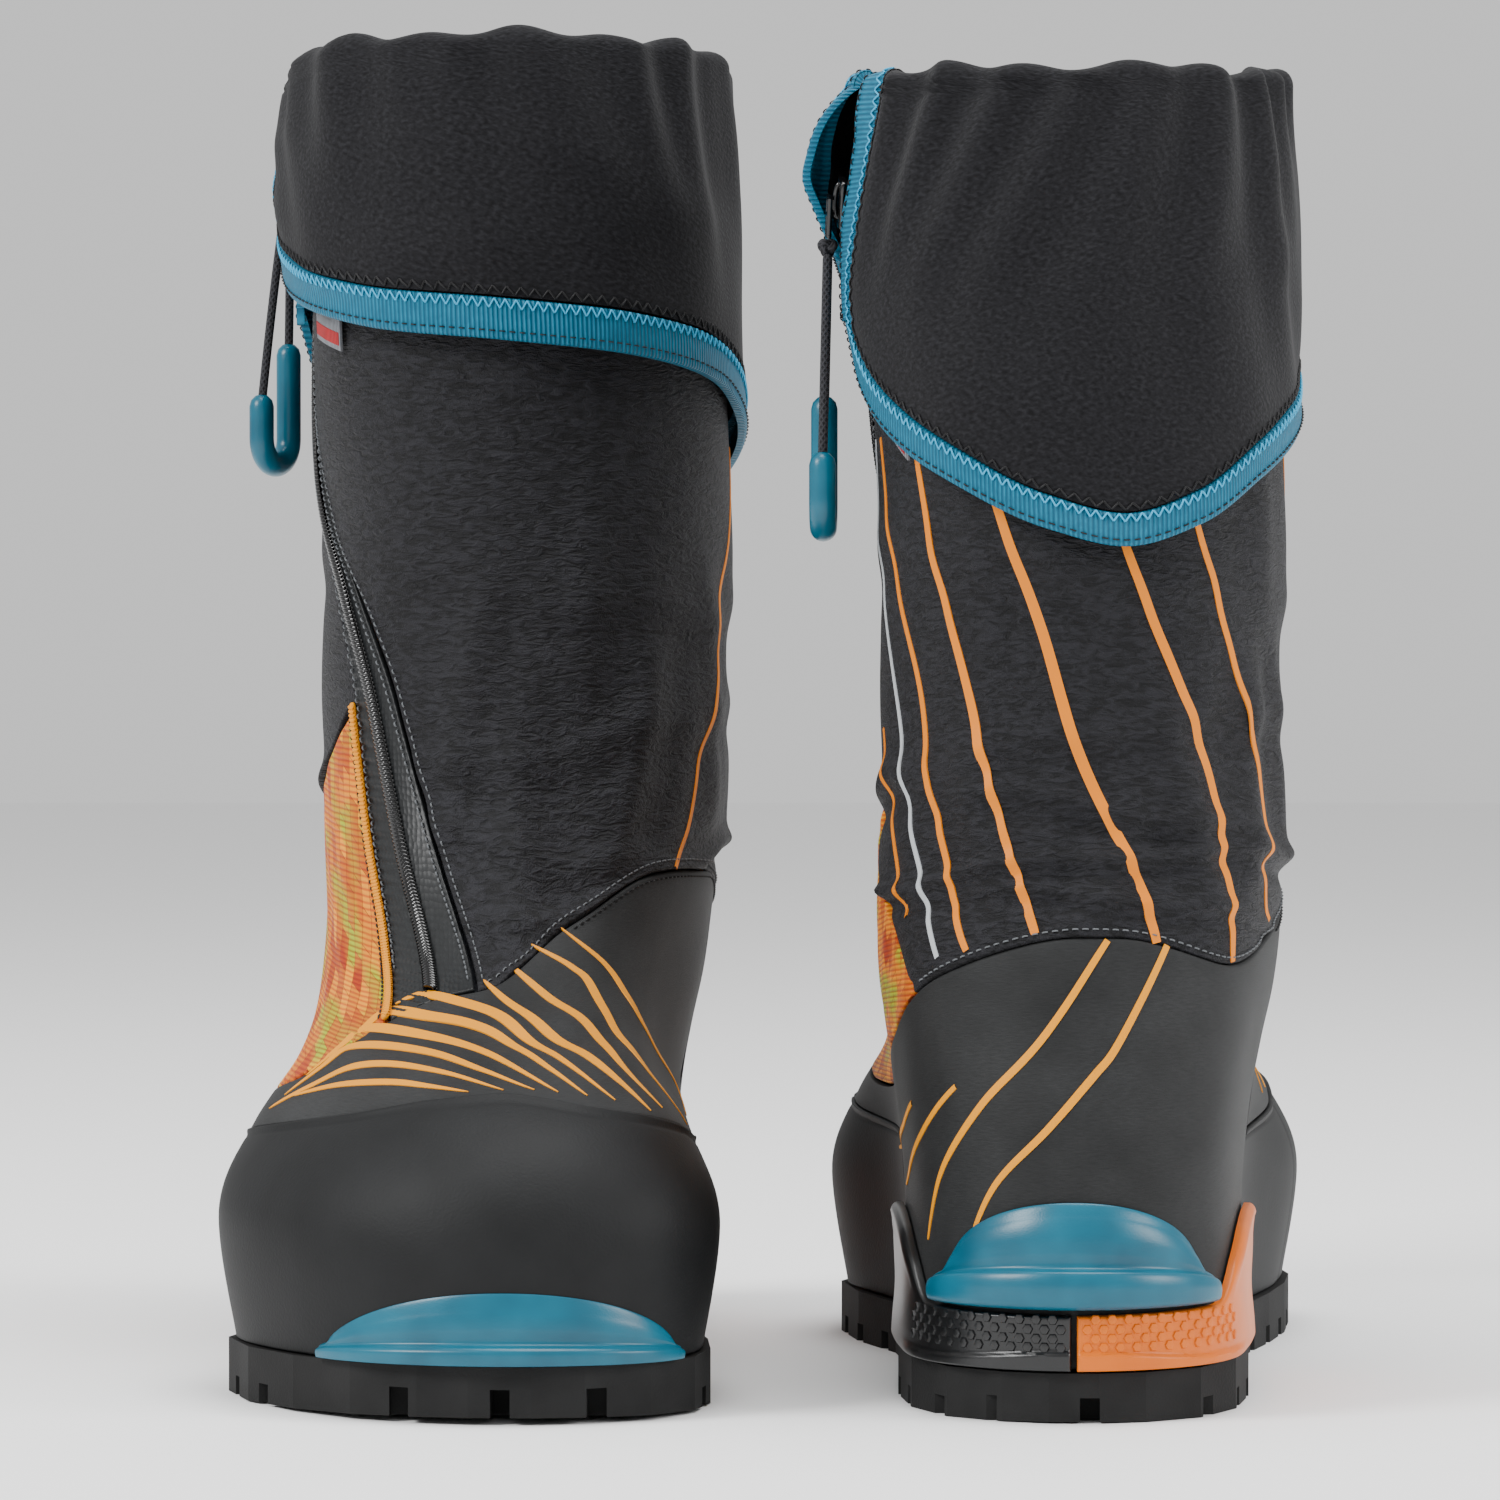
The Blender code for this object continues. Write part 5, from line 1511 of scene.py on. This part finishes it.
def add_tab(boot, origin, axes):
    hinge = origin + np.array([0, SLIDER_SIZE[1] / 2 + 0.3 + TAB_SIZE[1] / 2, 2]) @ axes
    patch = Patch()
    half, thin, long = TAB_SIZE[0] / 2, TAB_SIZE[1] / 2, TAB_SIZE[2]
    for side in (-1, 1):
        bar(patch, hinge, axes, [
            (-0.3, side * half * 0.62, 0, half * 0.34, thin),
            (-long * 0.5, side * half * 0.66, 0, half * 0.33, thin),
            (-long + 0.3, side * half * 0.5, 0, half * 0.42, thin),
        ], sides=14)
    for z in (-0.2, -long * 0.42, -long + 0.8):
        bar(patch, hinge, axes, [(z - 0.9, 0, 0, half, thin), (z, 0, 0, half, thin)], sides=16)
    patch.make(boot, "tab", "acetal", ["zip_tab"], body="tab", closed=True)
    return hinge


def hook_path(boot, knot_at):
    """The middle line of the J-shaped pull, from the end of its short arm to its long arm's."""
    turn = math.radians(boot.hook_turn)
    across = np.array([math.cos(turn), math.sin(turn), 0])
    length = HOOK_LONG + HOOK_SHORT + math.pi * HOOK_HALF
    balance = -across[1] * HOOK_HALF * (HOOK_LONG - HOOK_SHORT) / length
    shift = np.array([boot.hook_lean, balance, 0])
    bottom = knot_at + shift + np.array([0, 0, -HOOK_DROP])
    up = np.array([0, 0, 1.0])
    bend = np.linspace(0, math.pi, 24)[:, None]
    path = np.concatenate([
        bottom - across * HOOK_HALF + up * np.linspace(HOOK_SHORT, 1, 5)[:, None],
        bottom - across * HOOK_HALF * np.cos(bend) - up * HOOK_HALF * np.sin(bend),
        bottom + across * HOOK_HALF + up * np.linspace(1, HOOK_LONG, 10)[:, None],
    ])
    return path, across


def add_pull(boot, hinge, axes):
    knot_at = hinge + np.array([0, 0, -TAB_SIZE[2] - KNOT_RADIUS - 0.3]) @ axes
    t = np.linspace(0, 2 * math.pi, 90)
    trefoil = np.stack([
        np.sin(t) + 2 * np.sin(2 * t), np.cos(t) - 2 * np.cos(2 * t), -1.4 * np.sin(3 * t)
    ], 1) * 0.58
    knot = Patch()
    tube(knot, knot_at + trefoil[:, [0, 2, 1]], 1.15, sides=10)
    tied = knot.make(boot, "knot", "cord", ["pull_knot"], body="pull")

    path, across = hook_path(boot, knot_at)
    hook = Patch()
    tube(hook, path, HOOK_RADIUS, sides=24)
    hooked = hook.make(boot, "pull_grip", "teal", ["pull_hook"], body="pull")

    for name, end, side in (("short", path[0], -1), ("long", path[-1], 1)):
        start = knot_at + across * side * 1.6 + np.array([0, 0, -KNOT_RADIUS - 0.1])
        stop = end + np.array([0, 0, 0.3])
        share = np.linspace(0, 1, 40)[:, None]
        line = start + (stop - start) * share + across * side * 0.4 * np.sin(math.pi * share)
        strand = Patch()
        tube(strand, line, CORD_RADIUS, sides=14)
        cord = strand.make(
            boot, f"cord_{name}", "cord", [f"pull_cord_{name}"], body="pull"
        )
        placed = boot.world(line)


# ---------------------------------------------------------------- the pair and the studio


def add_boot(boot):
    add_sole(boot)
    add_welts(boot)
    add_counters(boot)
    add_rand(boot)
    add_shell(boot)
    add_ankle_panel(boot)
    add_zip(boot)
    add_gaiter(boot)
    add_cuff(boot)
    add_labels(boot)
    add_inner_boot(boot)
    origin, axes = add_slider(boot)
    hinge = add_tab(boot, origin, axes)
    add_pull(boot, hinge, axes)


def add_studio():
    bpy.ops.mesh.primitive_plane_add(size=12)
    floor = bpy.context.object
    floor.name = "studio_floor"
    floor.data.materials.append(finish_of("studio_paper", "#F2F2F2", 0.8)[0])
    for name, place, size, power in (
        ("key", (-2.1, -1.3, 1.8), 1.0, 85), ("fill", (2.1, -0.9, 1.0), 0.9, 34),
        ("top", (0.2, -0.2, 2.0), 1.2, 45),
    ):
        light = bpy.data.objects.new(name, bpy.data.lights.new(name, "AREA"))
        light.data.size, light.data.energy = size, power
        light.location = place
        aim = Vector((0, 0, 0.18)) - light.location
        light.rotation_euler = aim.to_track_quat("-Z", "Y").to_euler()
        bpy.context.scene.collection.objects.link(light)
    world = bpy.data.worlds.new("studio")
    world.use_nodes = True
    world.node_tree.nodes["Background"].inputs["Color"].default_value = (1, 1, 1, 1)
    world.node_tree.nodes["Background"].inputs["Strength"].default_value = 0.8
    bpy.context.scene.world = world


add_boot(Boot("left", (73.9, -156.3, 0), False, 0.0, -0.03, 10.0, 0.94, 90.0, -1.0, LEFT_FOLDS))
add_boot(Boot("right", (-68.6, 156.9, 0), True, 14.0, 0.05, 5.0, 0.957, -65.0, -3.0, RIGHT_FOLDS))
add_studio()
